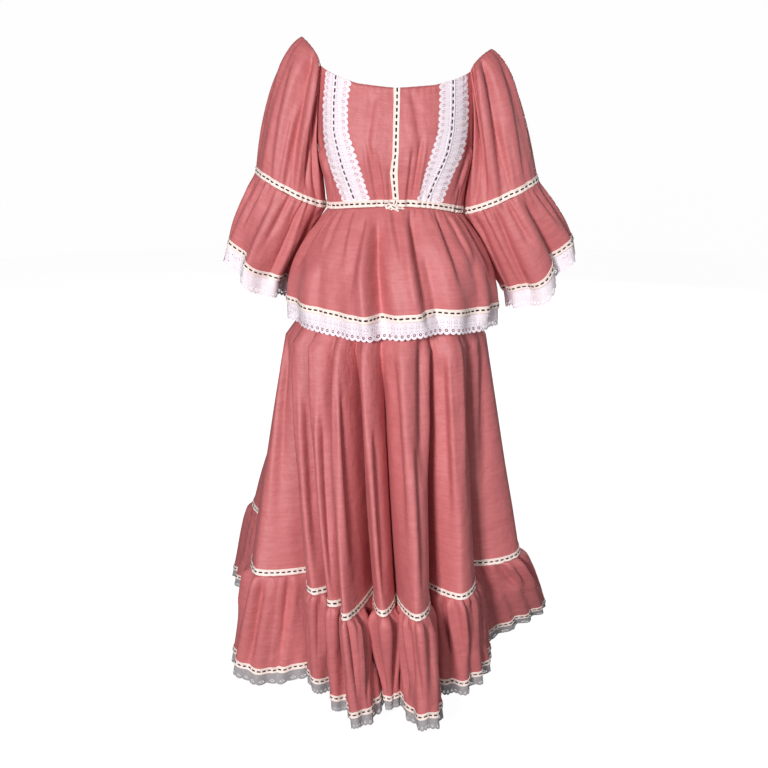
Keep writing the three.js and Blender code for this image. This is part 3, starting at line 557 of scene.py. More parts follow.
def peplum_relief(angle, share):
    fine = np.sin(2 * np.pi * angle / (360 / PEPLUM_GATHERS) + 4 * round_wobble(angle, 360, 7, 7))
    uneven = 0.7 + 0.5 * round_wobble(angle, 360, 5, 15)
    puckers = 1.7 * uneven * fine * np.exp(-np.clip(share, 0, None) * 9) * np.clip(share * 30, 0.3, 1)
    soft = 4 * round_wobble(angle, 360, 8, 8) * np.clip(share, 0, 1) ** 0.8
    return puckers + soft - creased(angle, share, PEPLUM_CREASES, 360)


# The sleeves

def ring_point(ring, side, turn, grow):
    lean = math.radians(ring["lean"])
    across = -np.cos(turn) * (ring["across"] + grow)
    x = side * (ring["x"] + across * math.cos(lean))
    y = ring["y"] - np.sin(turn) * (ring["deep"] + grow)
    z = ring["z"] + across * math.sin(lean)
    return np.stack([x, y, z], axis=-1)


def sleeve_top(sleeve, share):
    """The sleeve's upper edge: up the front armhole seam, over the shoulder, down the back one."""
    side = sleeve["side"]
    share = share % 1
    seam = np.clip(np.minimum(share, 1 - share) / SEAM_SHARE, 0, 1)
    front_angle = side * lerp(90, CORNER_FRONT, seam)
    back_angle = side * lerp(90, CORNER_BACK, seam)
    angle = np.where(share < 0.5, front_angle, back_angle)
    arm = on_body(top_edge(angle * 0.99999), angle)
    front = on_body(top_edge(side * CORNER_FRONT), side * CORNER_FRONT)
    back = on_body(top_edge(side * CORNER_BACK), side * CORNER_BACK)
    over = np.clip((share - SEAM_SHARE) / (1 - 2 * SEAM_SHARE), 0, 1)
    arch = np.clip(np.sin(np.pi * over), 0, 1)
    peak_x, peak_z = sleeve["shoulder"]
    straight = lerp(front, back, over[..., None])
    reach = peak_x - abs(front[0] + back[0]) / 2
    rise = peak_z - (front[2] + back[2]) / 2
    out = side * reach * arch ** SHOULDER_ARCH["out"]
    neck = straight + np.stack([out, 0 * arch, rise * arch ** SHOULDER_ARCH["up"]], axis=-1)
    on_neck = (share > SEAM_SHARE) & (share < 1 - SEAM_SHARE)
    return np.where(on_neck[..., None], neck, arm)


def sleeve_turn(share):
    share = share % 1
    corner = FRONT_CORNER_TURN
    return np.interp(share, [0, SEAM_SHARE, 1 - SEAM_SHARE, 1], [0, corner, 360 - corner, 360])


# Creases of a sleeve: angles round it at their two ends, levels, half width in degrees, depth
SLEEVE_CREASES = rows_of(("start", "end", "high", "low", "width", "depth"), [
    (62, 30, 0.05, 1.1, 9, 9), (84, 52, -0.05, 1.0, -8, 12), (104, 74, 0.02, 1.15, 9, 12),
    (96, 92, 0.5, 1.1, -7, 6), (138, 118, 0.15, 1.15, 12, 5), (176, 160, 0.3, 1.05, -12, 4),
    (206, 212, 0.25, 1.1, -10, 8), (240, 246, -0.05, 0.9, 10, 9), (278, 288, 0.1, 1.1, -9, 9),
    (318, 312, 0.2, 1.1, 9, 8), (62, 54, 0.97, 2.3, 8, 8), (84, 92, 0.97, 1.7, -6, 6),
    (108, 116, 0.97, 2.6, 10, 11), (132, 144, 0.97, 1.8, 7, 6), (154, 166, 0.97, 2.4, -9, 8),
    (186, 180, 0.97, 2.1, 9, 8), (210, 216, 0.97, 2.5, -10, 10), (244, 238, 0.97, 2.2, 9, 9),
    (274, 282, 0.97, 2.5, -9, 9), (308, 302, 0.97, 2.2, 9, 8), (338, 344, 0.97, 2.3, -9, 8),
    (26, 22, 0.97, 2.2, 9, 6),
])
SLEEVE_CREASE_SHIFT = {"right": 0, "left": 7}

# How far the inside of the upper sleeve leans towards the bodice, and over how many degrees each way
INNER_REACH = 9
INNER_SPREAD = 95


def sleeve_surface(name):
    sleeve = SLEEVES[name]
    side = sleeve["side"]
    lean = sleeve["lean"]
    axis = np.array([side * lean, 0, -1]) / math.hypot(lean, 1)

    def surface(share, level):
        """level is 0 at the top, 1 at the elbow seam, 2 at the cuff, then lace."""
        share, level = np.broadcast_arrays(np.asarray(share, float), np.asarray(level, float))
        degrees = sleeve_turn(side * share)
        turn = np.radians(degrees)
        top = sleeve_top(sleeve, side * share)
        outward = (1 - np.cos(turn)) / 2
        low = ring_point(sleeve["elbow"], side, turn, 0)
        length = np.linalg.norm(top - low, axis=-1, keepdims=True)
        away = np.stack([-side * np.cos(turn), -np.sin(turn) * 0.9, 0 * turn], axis=-1)
        away = away / np.linalg.norm(away, axis=-1, keepdims=True) + axis * 0.5
        leave = lerp(np.array([side * 0.66, 0, -0.5]), away, np.minimum(1, outward * 2.2)[..., None])
        leave = leave / np.linalg.norm(leave, axis=-1, keepdims=True)
        first = top + leave * length * lerp(0.1, 0.21, outward)[..., None]
        second = low - axis * length * 0.33
        t = np.clip(level, 0, 1)[..., None]
        upper = top * (1 - t) ** 3 + 3 * first * t * (1 - t) ** 2
        upper = upper + 3 * second * t ** 2 * (1 - t) + low * t ** 3
        radial = np.stack([-side * np.cos(turn), -np.sin(turn), 0 * turn], axis=-1)
        fold = 0
        for row in SLEEVE_FOLDS:
            fold = fold + row["depth"] * bump(degrees - row["angle"], row["width"])
        share_down = np.clip(level, 0, 1)
        fold = fold * np.sin(np.pi * share_down) ** 0.8
        upper = upper - radial * fold[..., None]
        beat = np.cos(sleeve["waves"] * turn + sleeve["turn"] + 0.7 * np.sin(2 * turn))
        parted = sleeve["fold"] * bump(degrees - CUFF_FOLD["angle"], CUFF_FOLD["width"])
        cuff = ring_point(sleeve["cuff"], side, turn, CUFF_WAVE * beat - parted)
        ahead = degrees - CUFF_FRONT["angle"]
        hung = bump(ahead, np.where(ahead < 0, CUFF_FRONT["inward"], CUFF_FRONT["outward"]))
        cuff = cuff - np.stack([0 * hung, 0 * hung, sleeve["drop"] * hung], axis=-1)
        s = np.clip(level - 1, 0, 1)[..., None]
        lower = lerp(low, cuff, s) + radial * 6 * np.sin(np.pi * s)
        hang = np.array([side * 0.2, 0, -1]) / math.hypot(0.2, 1)
        lace = cuff + hang * (level - 2)[..., None] * 100
        points = np.where((level > 1)[..., None], lower, upper)
        points = np.where((level > 2)[..., None], lace, points)
        fine = np.sin(31 * turn + 5 * round_wobble(degrees, 360, 11.5, 9))
        fine = fine * (0.7 + 0.5 * round_wobble(degrees, 360, 8.2, 14))
        relief = fine * np.where(level < 1, 0.9 * np.exp(-(1 - level) * 14), 2.2 * np.exp(-(level - 1) * 3.5))
        neck = np.clip((degrees - 70) / 15, 0, 1) * np.clip((290 - degrees) / 15, 0, 1)
        relief = relief + fine * 1.1 * neck * np.exp(-level * 12)
        drift = round_wobble(degrees, 360, 24, 10, 5 * lean + 2 * level)
        relief = relief + 2.4 * drift * np.sin(np.pi * share_down)
        shifted = degrees - SLEEVE_CREASE_SHIFT[name]
        relief = relief - creased(shifted, level, SLEEVE_CREASES, 360)
        inner = bump(within(degrees), INNER_SPREAD)
        inner = inner * np.clip((level - 0.2) * 2.5, 0, 1) * np.clip((1.25 - level) * 4, 0, 1)
        relief = relief + INNER_REACH * inner
        return points + radial * relief[..., None]

    return surface


# Meshes from grids of points

def mesh_object(name, points, faces, uvs=None):
    mesh = bpy.data.meshes.new(name)
    mesh.from_pydata((np.asarray(points) / 1000).tolist(), [], faces)
    if uvs is not None:
        layer = mesh.uv_layers.new(name="UVMap")
        corners = np.empty(len(mesh.loops), dtype=np.int32)
        mesh.loops.foreach_get("vertex_index", corners)
        layer.data.foreach_set("uv", np.asarray(uvs)[corners].ravel())
    mesh.validate()
    mesh.polygons.foreach_set("use_smooth", [True] * len(mesh.polygons))
    mesh.update()
    piece = bpy.data.objects.new(name, mesh)
    bpy.context.collection.objects.link(piece)
    return piece


def grid_uvs(points):
    """Metres along the cloth and down it, so a weave keeps its size."""
    across = np.linalg.norm(np.diff(points, axis=1), axis=2).mean(axis=0)
    down = np.linalg.norm(np.diff(points, axis=0), axis=2).mean(axis=1)
    u = np.concatenate([[0], np.cumsum(across)]) / 1000
    v = -np.concatenate([[0], np.cumsum(down)]) / 1000
    return np.stack(np.broadcast_arrays(u[None, :], v[:, None]), axis=-1)


def grid_faces(rows, columns, closed, start=0, flip=False):
    r, c = np.meshgrid(np.arange(rows - 1), np.arange(columns if closed else columns - 1), indexing="ij")
    after = (c + 1) % columns
    corners = [r * columns + c, (r + 1) * columns + c, (r + 1) * columns + after, r * columns + after]
    quads = np.stack(corners, axis=-1).reshape(-1, 4) + start
    return quads[:, ::-1] if flip else quads


def shell(name, middle, thickness, closed=False):
    """A closed wall about a grid of points, joined along its free edges."""
    rows, columns, _ = middle.shape
    if closed:
        wide = np.concatenate([middle[:, -1:], middle, middle[:, :1]], axis=1)
        normals = normals_of(wide)[:, 1:-1]
    else:
        normals = normals_of(middle)
    outer = middle + normals * thickness / 2
    inner = middle - normals * thickness / 2
    count = rows * columns
    faces = [grid_faces(rows, columns, closed), grid_faces(rows, columns, closed, count, True)]
    span = np.arange(columns if closed else columns - 1)
    after = (span + 1) % columns
    last = (rows - 1) * columns
    faces.append(np.stack([span, after, after + count, span + count], axis=-1))
    faces.append(np.stack([last + after, last + span, last + span + count, last + after + count], axis=-1))
    if not closed:
        down = np.arange(rows - 1) * columns
        final = down + columns - 1
        faces.append(np.stack([down + columns, down, down + count, down + columns + count], axis=-1))
        faces.append(np.stack([final, final + columns, final + columns + count, final + count], axis=-1))
    uvs = grid_uvs(middle).reshape(-1, 2)
    points = np.concatenate([outer.reshape(-1, 3), inner.reshape(-1, 3)])
    return mesh_object(name, points, np.concatenate(faces).tolist(), np.concatenate([uvs, uvs]))


def grid_of(across, down):
    return np.meshgrid(np.asarray(across, float), np.asarray(down, float))


# Materials

def to_linear(red, green, blue):
    parts = [value / 255 for value in (red, green, blue)]
    return tuple(v / 12.92 if v <= 0.04045 else ((v + 0.055) / 1.055) ** 2.4 for v in parts) + (1,)


def new_material(name, roughness, sheen=0.0, sheen_tint=(1, 1, 1, 1)):
    material = bpy.data.materials.new(name)
    material.use_nodes = True
    nodes = material.node_tree.nodes
    shader = nodes["Principled BSDF"]
    shader.inputs["Roughness"].default_value = roughness
    shader.inputs["Sheen Weight"].default_value = sheen
    shader.inputs["Sheen Roughness"].default_value = 0.4
    shader.inputs["Sheen Tint"].default_value = sheen_tint
    shader.inputs["Specular IOR Level"].default_value = 0.35
    return material, nodes, material.node_tree.links, shader


def noise(nodes, links, vector, scale, detail=2.0):
    node = nodes.new("ShaderNodeTexNoise")
    node.inputs["Scale"].default_value = scale
    node.inputs["Detail"].default_value = detail
    links.new(vector, node.inputs["Vector"])
    return node.outputs["Fac"]


def stretched(nodes, links, vector, across, down):
    node = nodes.new("ShaderNodeMapping")
    node.inputs["Scale"].default_value = (across, down, 1)
    links.new(vector, node.inputs["Vector"])
    return node.outputs["Vector"]


def ramp(nodes, links, factor, stops):
    node = nodes.new("ShaderNodeValToRGB")
    node.color_ramp.elements[0].position = stops[0][0]
    node.color_ramp.elements[0].color = stops[0][1]
    node.color_ramp.elements[1].position = stops[-1][0]
    node.color_ramp.elements[1].color = stops[-1][1]
    for position, color in stops[1:-1]:
        node.color_ramp.elements.new(position).color = color
    links.new(factor, node.inputs["Fac"])
    return node.outputs["Color"]


def mixed_color(nodes, links, factor, first, second):
    node = nodes.new("ShaderNodeMix")
    node.data_type = "RGBA"
    for socket, value in ((node.inputs[6], first), (node.inputs[7], second)):
        if isinstance(value, tuple):
            socket.default_value = value
        else:
            links.new(value, socket)
    if isinstance(factor, float):
        node.inputs[0].default_value = factor
    else:
        links.new(factor, node.inputs[0])
    return node.outputs[2]


def bumped(nodes, links, height, strength, distance, under=None):
    node = nodes.new("ShaderNodeBump")
    node.inputs["Strength"].default_value = strength
    node.inputs["Distance"].default_value = distance
    links.new(height, node.inputs["Height"])
    if under is not None:
        links.new(under, node.inputs["Normal"])
    return node.outputs["Normal"]


def rose_cloth():
    """Rose cloth with fine crosswise slubs and a faint watered pattern."""
    material, nodes, links, shader = new_material("rose_cloth", 0.58, 0.12, to_linear(255, 190, 195))
    place = nodes.new("ShaderNodeTexCoord").outputs["UV"]
    slubs = noise(nodes, links, stretched(nodes, links, place, 22, 900), 1, 3)
    patches = noise(nodes, links, stretched(nodes, links, place, 9, 14), 1, 2)
    watered = noise(nodes, links, stretched(nodes, links, place, 26, 210), 1, 2)
    shader.inputs["Specular IOR Level"].default_value = 0.55
    base = ramp(nodes, links, slubs, [
        (0.25, to_linear(188, 100, 102)),
        (0.5, to_linear(194, 106, 108)),
        (0.78, to_linear(199, 112, 114)),
    ])
    moire = ramp(nodes, links, watered, [
        (0.38, to_linear(185, 97, 100)),
        (0.62, to_linear(203, 115, 117)),
    ])
    base = mixed_color(nodes, links, 0.45, base, moire)
    tint = ramp(nodes, links, patches, [
        (0.3, to_linear(187, 99, 102)),
        (0.7, to_linear(202, 112, 114)),
    ])
    base = mixed_color(nodes, links, 0.3, base, tint)
    links.new(base, shader.inputs["Base Color"])
    first = bumped(nodes, links, slubs, 0.22, 0.0006)
    second = bumped(nodes, links, watered, 0.35, 0.0012, first)
    wrinkles = noise(nodes, links, stretched(nodes, links, place, 34, 26), 1, 4)
    third = bumped(nodes, links, wrinkles, 0.7, 0.006, second)
    links.new(third, shader.inputs["Normal"])
    return material


def thread_material(name, color, dark, roughness, scale, sheen=0.1):
    material, nodes, links, shader = new_material(name, roughness, sheen)
    place = nodes.new("ShaderNodeTexCoord").outputs["UV"]
    grain = noise(nodes, links, stretched(nodes, links, place, scale, scale * 1.7), 1, 3)
    links.new(ramp(nodes, links, grain, [(0.3, dark), (0.65, color)]), shader.inputs["Base Color"])
    links.new(bumped(nodes, links, grain, 0.6, 0.0005), shader.inputs["Normal"])
    return material


ROSE = rose_cloth()
LACE_FINISH = thread_material("white_lace", to_linear(252, 242, 248), to_linear(224, 208, 220), 0.85, 900)
# The hem lace is the same white lace painted grey, as painted shade for lace that hangs in shadow below the
# hem
HEM_LACE_PAINTED_SHADE = thread_material("hem_lace", to_linear(180, 174, 177), to_linear(134, 128, 132), 0.85, 900)
BRAID_FINISH = thread_material("ivory_braid", to_linear(255, 240, 232), to_linear(234, 210, 202), 0.7, 700)
DASH_FINISH = thread_material("dark_stitches", to_linear(58, 30, 34), to_linear(30, 14, 18), 0.6, 900)


def settle(piece, material, node=None):
    piece.data.materials.append(material)
    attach(piece, "root")
    if node:
        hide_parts(node)
    return piece


# Cloth panels


def cloth(node, points, closed=False):
    piece = shell(node + "_cloth", points, CLOTH, closed)
    settle(piece, ROSE, node)
    across = np.linalg.norm(np.diff(points, axis=1), axis=2).sum(axis=1).max() / 1000
    down = np.linalg.norm(np.diff(points, axis=0), axis=2).sum(axis=0).max() / 1000


# Degrees between a panel or a trim of the bodice and peplum and its side seam
BODY_SEAM = 0.08
TRIM_SEAM = 0.1
BODICE_ROWS = np.linspace(0, 1, 44)
body_halves = {"front": (-90, 90), "back": (90, 270)}
for half, (first, final) in body_halves.items():
    angles, downs = grid_of(np.linspace(first + BODY_SEAM, final - BODY_SEAM, 220), BODICE_ROWS)
    cloth("bodice_" + half, bodice(angles, downs))

# Columns between a skirt panel and its side seam
SKIRT_SEAM = 0.0012
PER_STRETCH = 20
CAD_COLUMNS = 3 * len(SKIRT_LINES)


def column_nearest(angle):
    columns = np.arange(CAD_COLUMNS) / 3
    reach = np.abs(within(line_values(columns, "tier")[0] - angle))
    return columns[int(np.argmin(reach))]


left_seam = column_nearest(90)
right_seam = column_nearest(-90)
skirt_halves = {"front": (right_seam - len(SKIRT_LINES), left_seam), "back": (left_seam, right_seam)}


def skirt_columns(half, per_stretch=PER_STRETCH):
    first, final = skirt_halves[half]
    return np.linspace(first + SKIRT_SEAM, final - SKIRT_SEAM, int((final - first) * per_stretch) + 1)


for half in skirt_halves:
    levels = [np.linspace(0, 1, 10)[:-1], np.linspace(1, 1.86, 26)[:-1], np.linspace(1.86, 2, 10)]
    levels = np.concatenate(levels)
    cloth("skirt_" + half, skirt(*grid_of(skirt_columns(half), levels)))
    levels = 2.001 + 0.998 * np.linspace(0, 1, 31) ** 1.15
    cloth("hem_flounce_" + half, skirt(*grid_of(skirt_columns(half, 27), levels)))

for half, (first, final) in body_halves.items():
    downs = 0.001 + 0.999 * np.linspace(0, 1, 34) ** 1.25
    angles = np.linspace(first + BODY_SEAM, final - BODY_SEAM, 250)
    cloth("peplum_" + half, peplum(*grid_of(angles, downs)))

sleeve_surfaces = {name: sleeve_surface(name) for name in SLEEVES}
AROUND_SLEEVE = 210
for name, surface in sleeve_surfaces.items():
    around = np.arange(AROUND_SLEEVE) / AROUND_SLEEVE
    levels = np.concatenate([np.linspace(0.002, 0.85, 34)[:-1], np.linspace(0.85, 1, 10)])
    cloth("sleeve_" + name, surface(*grid_of(around, levels)), True)
    levels = 1.003 + 0.997 * np.linspace(0, 1, 27) ** 1.2
    cloth("sleeve_flounce_" + name, surface(*grid_of(around, levels)), True)


# Braid: a woven ribbon with two raised edges, and dark stitches along its middle

# Half of the braid's section: shares of its width from the middle, and heights above its base
HALF_PROFILE = [(0.12, 0.2), (0.26, 0.35), (0.36, 1.05), (0.47, 0.8), (0.5, 0.0)]
PROFILE = [(-across, height) for across, height in reversed(HALF_PROFILE)] + [(0, 0.2)] + HALF_PROFILE


def width_of(place, low, high, *lift):
    """The mean distance across a trim between two offsets from its line, in millimetres."""
    share, across = grid_of(np.linspace(0.05, 0.95, 19), np.linspace(low, high, 12))
    points = place(share, across, *lift)
    return float(np.linalg.norm(np.diff(points, axis=0), axis=2).sum(axis=0).mean())


def braid(node, place, closed, along, width=BRAID_WIDTH, lift=BRAID_LIFT, name=None, finish=BRAID_FINISH,
          cut_width=None):
    """place(along, across, lift) gives points: along runs 0 to 1, across is millimetres from the middle."""
    spots = np.linspace(0, 1, along + (0 if closed else 1), endpoint=not closed)
    rows = []
    for across, height in PROFILE:
        rows.append(place(spots, across * width, lift + height * BRAID_BASE))
    for across, height in (PROFILE[-2], PROFILE[1]):
        rows.append(place(spots, across * width, lift - BRAID_BASE / 2))
    points = np.stack(rows, axis=0)
    count, steps = points.shape[0], points.shape[1]
    ring = np.concatenate([points, points[:1]], axis=0)
    r, c = np.meshgrid(np.arange(count), np.arange(steps if closed else steps - 1), indexing="ij")
    after_r, after_c = (r + 1) % count, (c + 1) % steps
    corners = [r * steps + c, after_r * steps + c, after_r * steps + after_c, r * steps + after_c]
    quads = np.stack(corners, axis=-1)
    faces = quads.reshape(-1, 4).tolist()
    if not closed:
        faces.append([k * steps for k in range(count)])
        faces.append([k * steps + steps - 1 for k in range(count)][::-1])
    flat = grid_uvs(ring)[:count].reshape(-1, 2)
    name = name or node
    piece = mesh_object(name + "_ribbon", points.reshape(-1, 3), faces, flat)
    settle(piece, finish, node)
    middle = place(np.linspace(0, 1, 2001), 0, lift)
    length = float(np.linalg.norm(np.diff(middle, axis=0), axis=1).sum())
    cut = cut_width or width_of(place, -width / 2, width / 2, lift)
    stitches(name, place, middle, length, lift)


def stitches(name, place, middle, length, lift):
    """Dark stitches: rounded dashes evenly spaced along a braid."""
    travelled = np.concatenate([[0], np.cumsum(np.linalg.norm(np.diff(middle, axis=0), axis=1))])
    count = int(length / DASH_PITCH)
    starts = (np.arange(count) + 0.3) * length / count
    along = np.array([-0.5, -0.4, 0, 0.4, 0.5]) * DASH_LENGTH
    swell = np.array([0.35, 0.9, 1, 0.9, 0.35])
    section = [(-0.5, 0.0), (-0.36, 0.75), (0, 1.05), (0.36, 0.75), (0.5, 0.0)]
    spots = np.interp((starts[:, None] + along[None, :]).ravel(), travelled, np.linspace(0, 1, len(middle)))
    rows = []
    for across, height in section:
        sideways = np.tile(across * DASH_WIDTH * swell, count)
        raised = lift + BRAID_BASE * (0.2 + np.tile(height * swell, count))
        rows.append(place(spots, sideways, raised).reshape(count, len(along), 3))
    points = np.stack(rows, axis=1)
    section_count, steps = points.shape[1], points.shape[2]
    one = grid_faces(section_count, steps, False)
    block = section_count * steps
    faces = (one[None] + (np.arange(count) * block)[:, None, None]).reshape(-1, 4)
    piece = mesh_object(name + "_stitches", points.reshape(-1, 3), faces.tolist())
    settle(piece, DASH_FINISH)


def ring_trim(surface, to_across, level, per_mm, steps):
    """Places along a level of a surface. to_across turns 0..1 into its first coordinate."""

    def place(share, across, lift):
        share, across, lift = np.broadcast_arrays(np.asarray(share, float), across, lift)
        return lifted(surface, to_across(share), level(share) - across * per_mm(share), lift, steps)

    return place


# Steps across and down a surface over which a trim reads its slope
SKIRT_STEPS = (0.02, 0.004)
BODICE_STEPS = (0.5, 0.01)
PEPLUM_STEPS = (0.4, 0.004)
SLEEVE_STEPS = (0.004, 0.01)


def constant(value):
    return lambda share: value + 0 * share


for half, (first, final) in body_halves.items():
    def waist_span(share, low=first, high=final):
        return lerp(low + TRIM_SEAM, high - TRIM_SEAM, share)

    def waist_per_mm(share, low=first, high=final):
        angle = waist_span(share, low, high)
        return 1 / (top_edge(angle) - waist_height(angle))

    def waist_level(share, low=first, high=final):
        return 1 - (BRAID_WIDTH / 2 + 0.5) * waist_per_mm(share, low, high)

    place = ring_trim(bodice, waist_span, waist_level, waist_per_mm, BODICE_STEPS)
    braid("waist_braid_" + half, place, False, 240)

for half in skirt_halves:
    first, final = skirt_halves[half]

    def column_span(share, low=first, high=final):
        return lerp(low + SKIRT_SEAM, high - SKIRT_SEAM, share)

    tier_mm = 1 / (HIP["z"] - TIER["z"])
    hem_mm = 1 / (TIER["z"] - HEM["z"])
    tier_level = constant(2 - BRAID_WIDTH / 2 * tier_mm)
    hem_level = constant(3 - BRAID_WIDTH / 2 * hem_mm)
    tier_place = ring_trim(skirt, column_span, tier_level, constant(tier_mm), SKIRT_STEPS)
    hem_place = ring_trim(skirt, column_span, hem_level, constant(hem_mm), SKIRT_STEPS)
    braid("tier_braid_" + half, tier_place, False, 560)
    braid("hem_braid_" + half, hem_place, False, 640)

PEPLUM_LENGTH = 185
peplum_mm = 1 / PEPLUM_LENGTH
for half, (first, final) in body_halves.items():
    def round_span(share, low=first, high=final):
        return lerp(low + TRIM_SEAM, high - TRIM_SEAM, share)

    level = constant(1 - BRAID_WIDTH / 2 * peplum_mm)
    place = ring_trim(peplum, round_span, level, constant(peplum_mm), PEPLUM_STEPS)
    braid("peplum_braid_" + half, place, False, 420)

for name, surface in sleeve_surfaces.items():
    def elbow_mm(share, part=surface):
        edge = part(share, 1 + 0 * share)
        above = part(share, 0.93 + 0 * share)
        return 0.07 / np.linalg.norm(edge - above, axis=-1)

    def cuff_mm(share, part=surface):
        edge = part(share, 2 + 0 * share)
        above = part(share, 1.93 + 0 * share)
        return 0.07 / np.linalg.norm(edge - above, axis=-1)

    def elbow_level(share, part=surface, rate=elbow_mm):
        return 1 - BRAID_WIDTH / 2 * rate(share)

    def cuff_level(share, part=surface, rate=cuff_mm):
        return 2 - BRAID_WIDTH / 2 * rate(share)

    elbow_place = ring_trim(surface, lambda share: share, elbow_level, elbow_mm, SLEEVE_STEPS)
    cuff_place = ring_trim(surface, lambda share: share, cuff_level, cuff_mm, SLEEVE_STEPS)
    braid("elbow_braid_" + name, elbow_place, True, 260)
    braid("cuff_braid_" + name, cuff_place, True, 300)


# Front bands and the centre braid run down the bodice

def down_bodice(angle_of):
    """Places along a line down the bodice front, with across in millimetres sideways."""

    def place(share, across, lift):
        share, across, lift = np.broadcast_arrays(np.asarray(share, float), across, lift)
        angle = angle_of(-150 + 0 * share)
        for _ in range(5):
            z = lerp(top_edge(angle) - 0.3, waist_height(angle) + BRAID_WIDTH + 1, share)
            angle = angle_of(z)
        ahead = on_body(z, angle + 0.5) - on_body(z, angle - 0.5)
        moved = angle + across / np.linalg.norm(ahead, axis=-1)
        down = (top_edge(moved) - z) / (top_edge(moved) - waist_height(moved))
        return lifted(bodice, moved, down, lift, BODICE_STEPS)

    return place


def band_line(column):
    return lambda z: read(BANDS, "z", z, column)


braid("center_braid", down_bodice(band_line("centre")), False, 150)
for name, letter in (("right", "R"), ("left", "L")):
    place = down_bodice(band_line("mid" + letter))
    braid("lace_band_braid_" + name, place, False, 150, BAND_BRAID_WIDTH, BAND_BRAID_LIFT, None, LACE_FINISH)


# Lace: one repeat drawn as a height map of threads, cut out, then laid along an edge

LACE_CELL = 1.0
HEM_LACE_CELL = 1.2
REPEAT = 12


def thread_field(s, t, length, scallop, net_width, ring_width):
    """Positive where there is thread. s runs along the edge and t down, both in millimetres."""
    edge = length - scallop + scallop * np.abs(np.sin(np.pi * s / REPEAT)) ** 0.7
    header = 2.8 - t
    border = 1.5 - np.abs(edge - 1.5 - t)
    ring_s = s - REPEAT / 2
    ring_t = t - (length - scallop - 4.2)
    distance = np.hypot(ring_s, ring_t)
    parts = [header, border, ring_width - np.abs(distance - 3.9), ring_width + 0.5 - distance]
    parts.append(0.6 - np.abs(ring_s) - np.clip(4.2 - distance, 0, None))
    gap = (s + REPEAT / 2) % REPEAT - REPEAT / 2
    parts.append(1.0 - np.hypot(gap, ring_t + 5.2))
    small_t = t - 6.4
    while_room = length - scallop - 4.2 - 6.4
    if while_room > 5:
        parts.append(0.75 - np.abs(np.hypot(gap, small_t) - 2.5))
        parts.append(0.9 - np.hypot(ring_s, small_t))
    if while_room > 12:
        middle_t = t - (6.4 + while_room / 2)
        parts.append(0.7 - np.abs(np.hypot(ring_s, middle_t) - 2.4))
        parts.append(1.0 - np.hypot(gap, middle_t))
    net = net_width - np.minimum(np.abs((s + t) % 3 - 1.5), np.abs((s - t) % 3 - 1.5))
    parts.append(np.where(distance > 4.4, net, -1))
    return np.minimum(np.maximum.reduce(parts), edge - t)


def cut_out(field, s, t):
    """Triangles of the part of a grid where a field is positive, with its outline cut between grid places."""
    points = []
    faces = []
    known = {}

    def vertex(key, place):
        if key not in known:
            known[key] = len(points)
            points.append(place)
        return known[key]

    rows, columns = field.shape
    for r in range(rows - 1):
        for c in range(columns - 1):
            corners = [(r, c), (r + 1, c), (r + 1, c + 1), (r, c + 1)]
            loop = []
            for k in range(4):
                a, b = corners[k], corners[(k + 1) % 4]
                fa, fb = field[a], field[b]
                if fa > 0:
                    loop.append(vertex(a, (s[a], t[a])))
                if (fa > 0) != (fb > 0):
                    share = fa / (fa - fb)
                    key = (min(a, b), max(a, b))
                    loop.append(vertex(key, (lerp(s[a], s[b], share), lerp(t[a], t[b], share))))
            if len(loop) >= 3:
                faces.append(loop)
    return np.array(points), faces


def lace_repeat(length, scallop, net_width, ring_width, cell):
    across = np.linspace(0, REPEAT, round(REPEAT / cell) + 1)
    s, t = np.meshgrid(across, np.linspace(0, length, int(length / cell) + 1))
    return cut_out(thread_field(s, t, length, scallop, net_width, ring_width), s, t)


# Half widths of the net's and the rings' threads, and the size of a lace's grid cells
BAND_WIDTHS = (0.7, 1.2, LACE_CELL)
FINE_WIDTHS = (0.66, 0.95, LACE_CELL)
HEM_WIDTHS = (0.95, 1.2, HEM_LACE_CELL)


def lace(node, place, run, length, scallop, material, replaced=True, name="_lace", widths=BAND_WIDTHS):
    """place(along in 0..1, down in mm) gives points; run is the length of the edge in millimetres."""
    spots, loops = lace_repeat(length, scallop, *widths)
    repeats = max(1, int(round(run / REPEAT)))
    points = []
    faces = []
    uvs = []
    for k in range(repeats):
        along = (k + spots[:, 0] / REPEAT) / repeats
        points.append(place(along, spots[:, 1]))
        uvs.append(np.stack([along * run / 1000, -spots[:, 1] / 1000], axis=-1))
        start = k * len(spots)
        faces.extend([[start + i for i in loop] for loop in loops])
    piece = mesh_object(node + name, np.concatenate(points), faces, np.concatenate(uvs))
    settle(piece, material, node if replaced else None)
    deep = round(width_of(place, 0, length) / 1000, 4)


def run_of(place, down=0):
    points = place(np.linspace(0, 1, 1500), down + np.zeros(1500))
    return float(np.linalg.norm(np.diff(points, axis=0), axis=1).sum())


for half in skirt_halves:
    first, final = skirt_halves[half]

    def hem_lace_place(along, down, low=first, high=final):
        level = 3.0 + (down + 0.2) / (TIER["z"] - HEM["z"])
        return skirt(lerp(low + SKIRT_SEAM, high - SKIRT_SEAM, along), level)

    run = run_of(hem_lace_place)
    lace("hem_lace_" + half, hem_lace_place, run, HEM_LACE_DROP, 3, HEM_LACE_PAINTED_SHADE, widths=HEM_WIDTHS)

for half, (first, final) in body_halves.items():
    def peplum_lace_place(along, down, low=first, high=final):
        return peplum(lerp(low + TRIM_SEAM, high - TRIM_SEAM, along), 1 + (down + 0.2) / 100)

    run = run_of(peplum_lace_place)
    lace("peplum_lace_" + half, peplum_lace_place, run, PEPLUM_LACE_DROP, 4, LACE_FINISH, widths=FINE_WIDTHS)

for name, surface in sleeve_surfaces.items():
    def cuff_lace_place(along, down, part=surface):
        return part(along, 2.0001 + (down + 0.2) / 100)

    run = run_of(cuff_lace_place)
    lace("cuff_lace_" + name, cuff_lace_place, run, CUFF_LACE_DROP, 4, LACE_FINISH, widths=FINE_WIDTHS)

BAND_LACE_WIDTH = 27
BAND_HEADER = 3


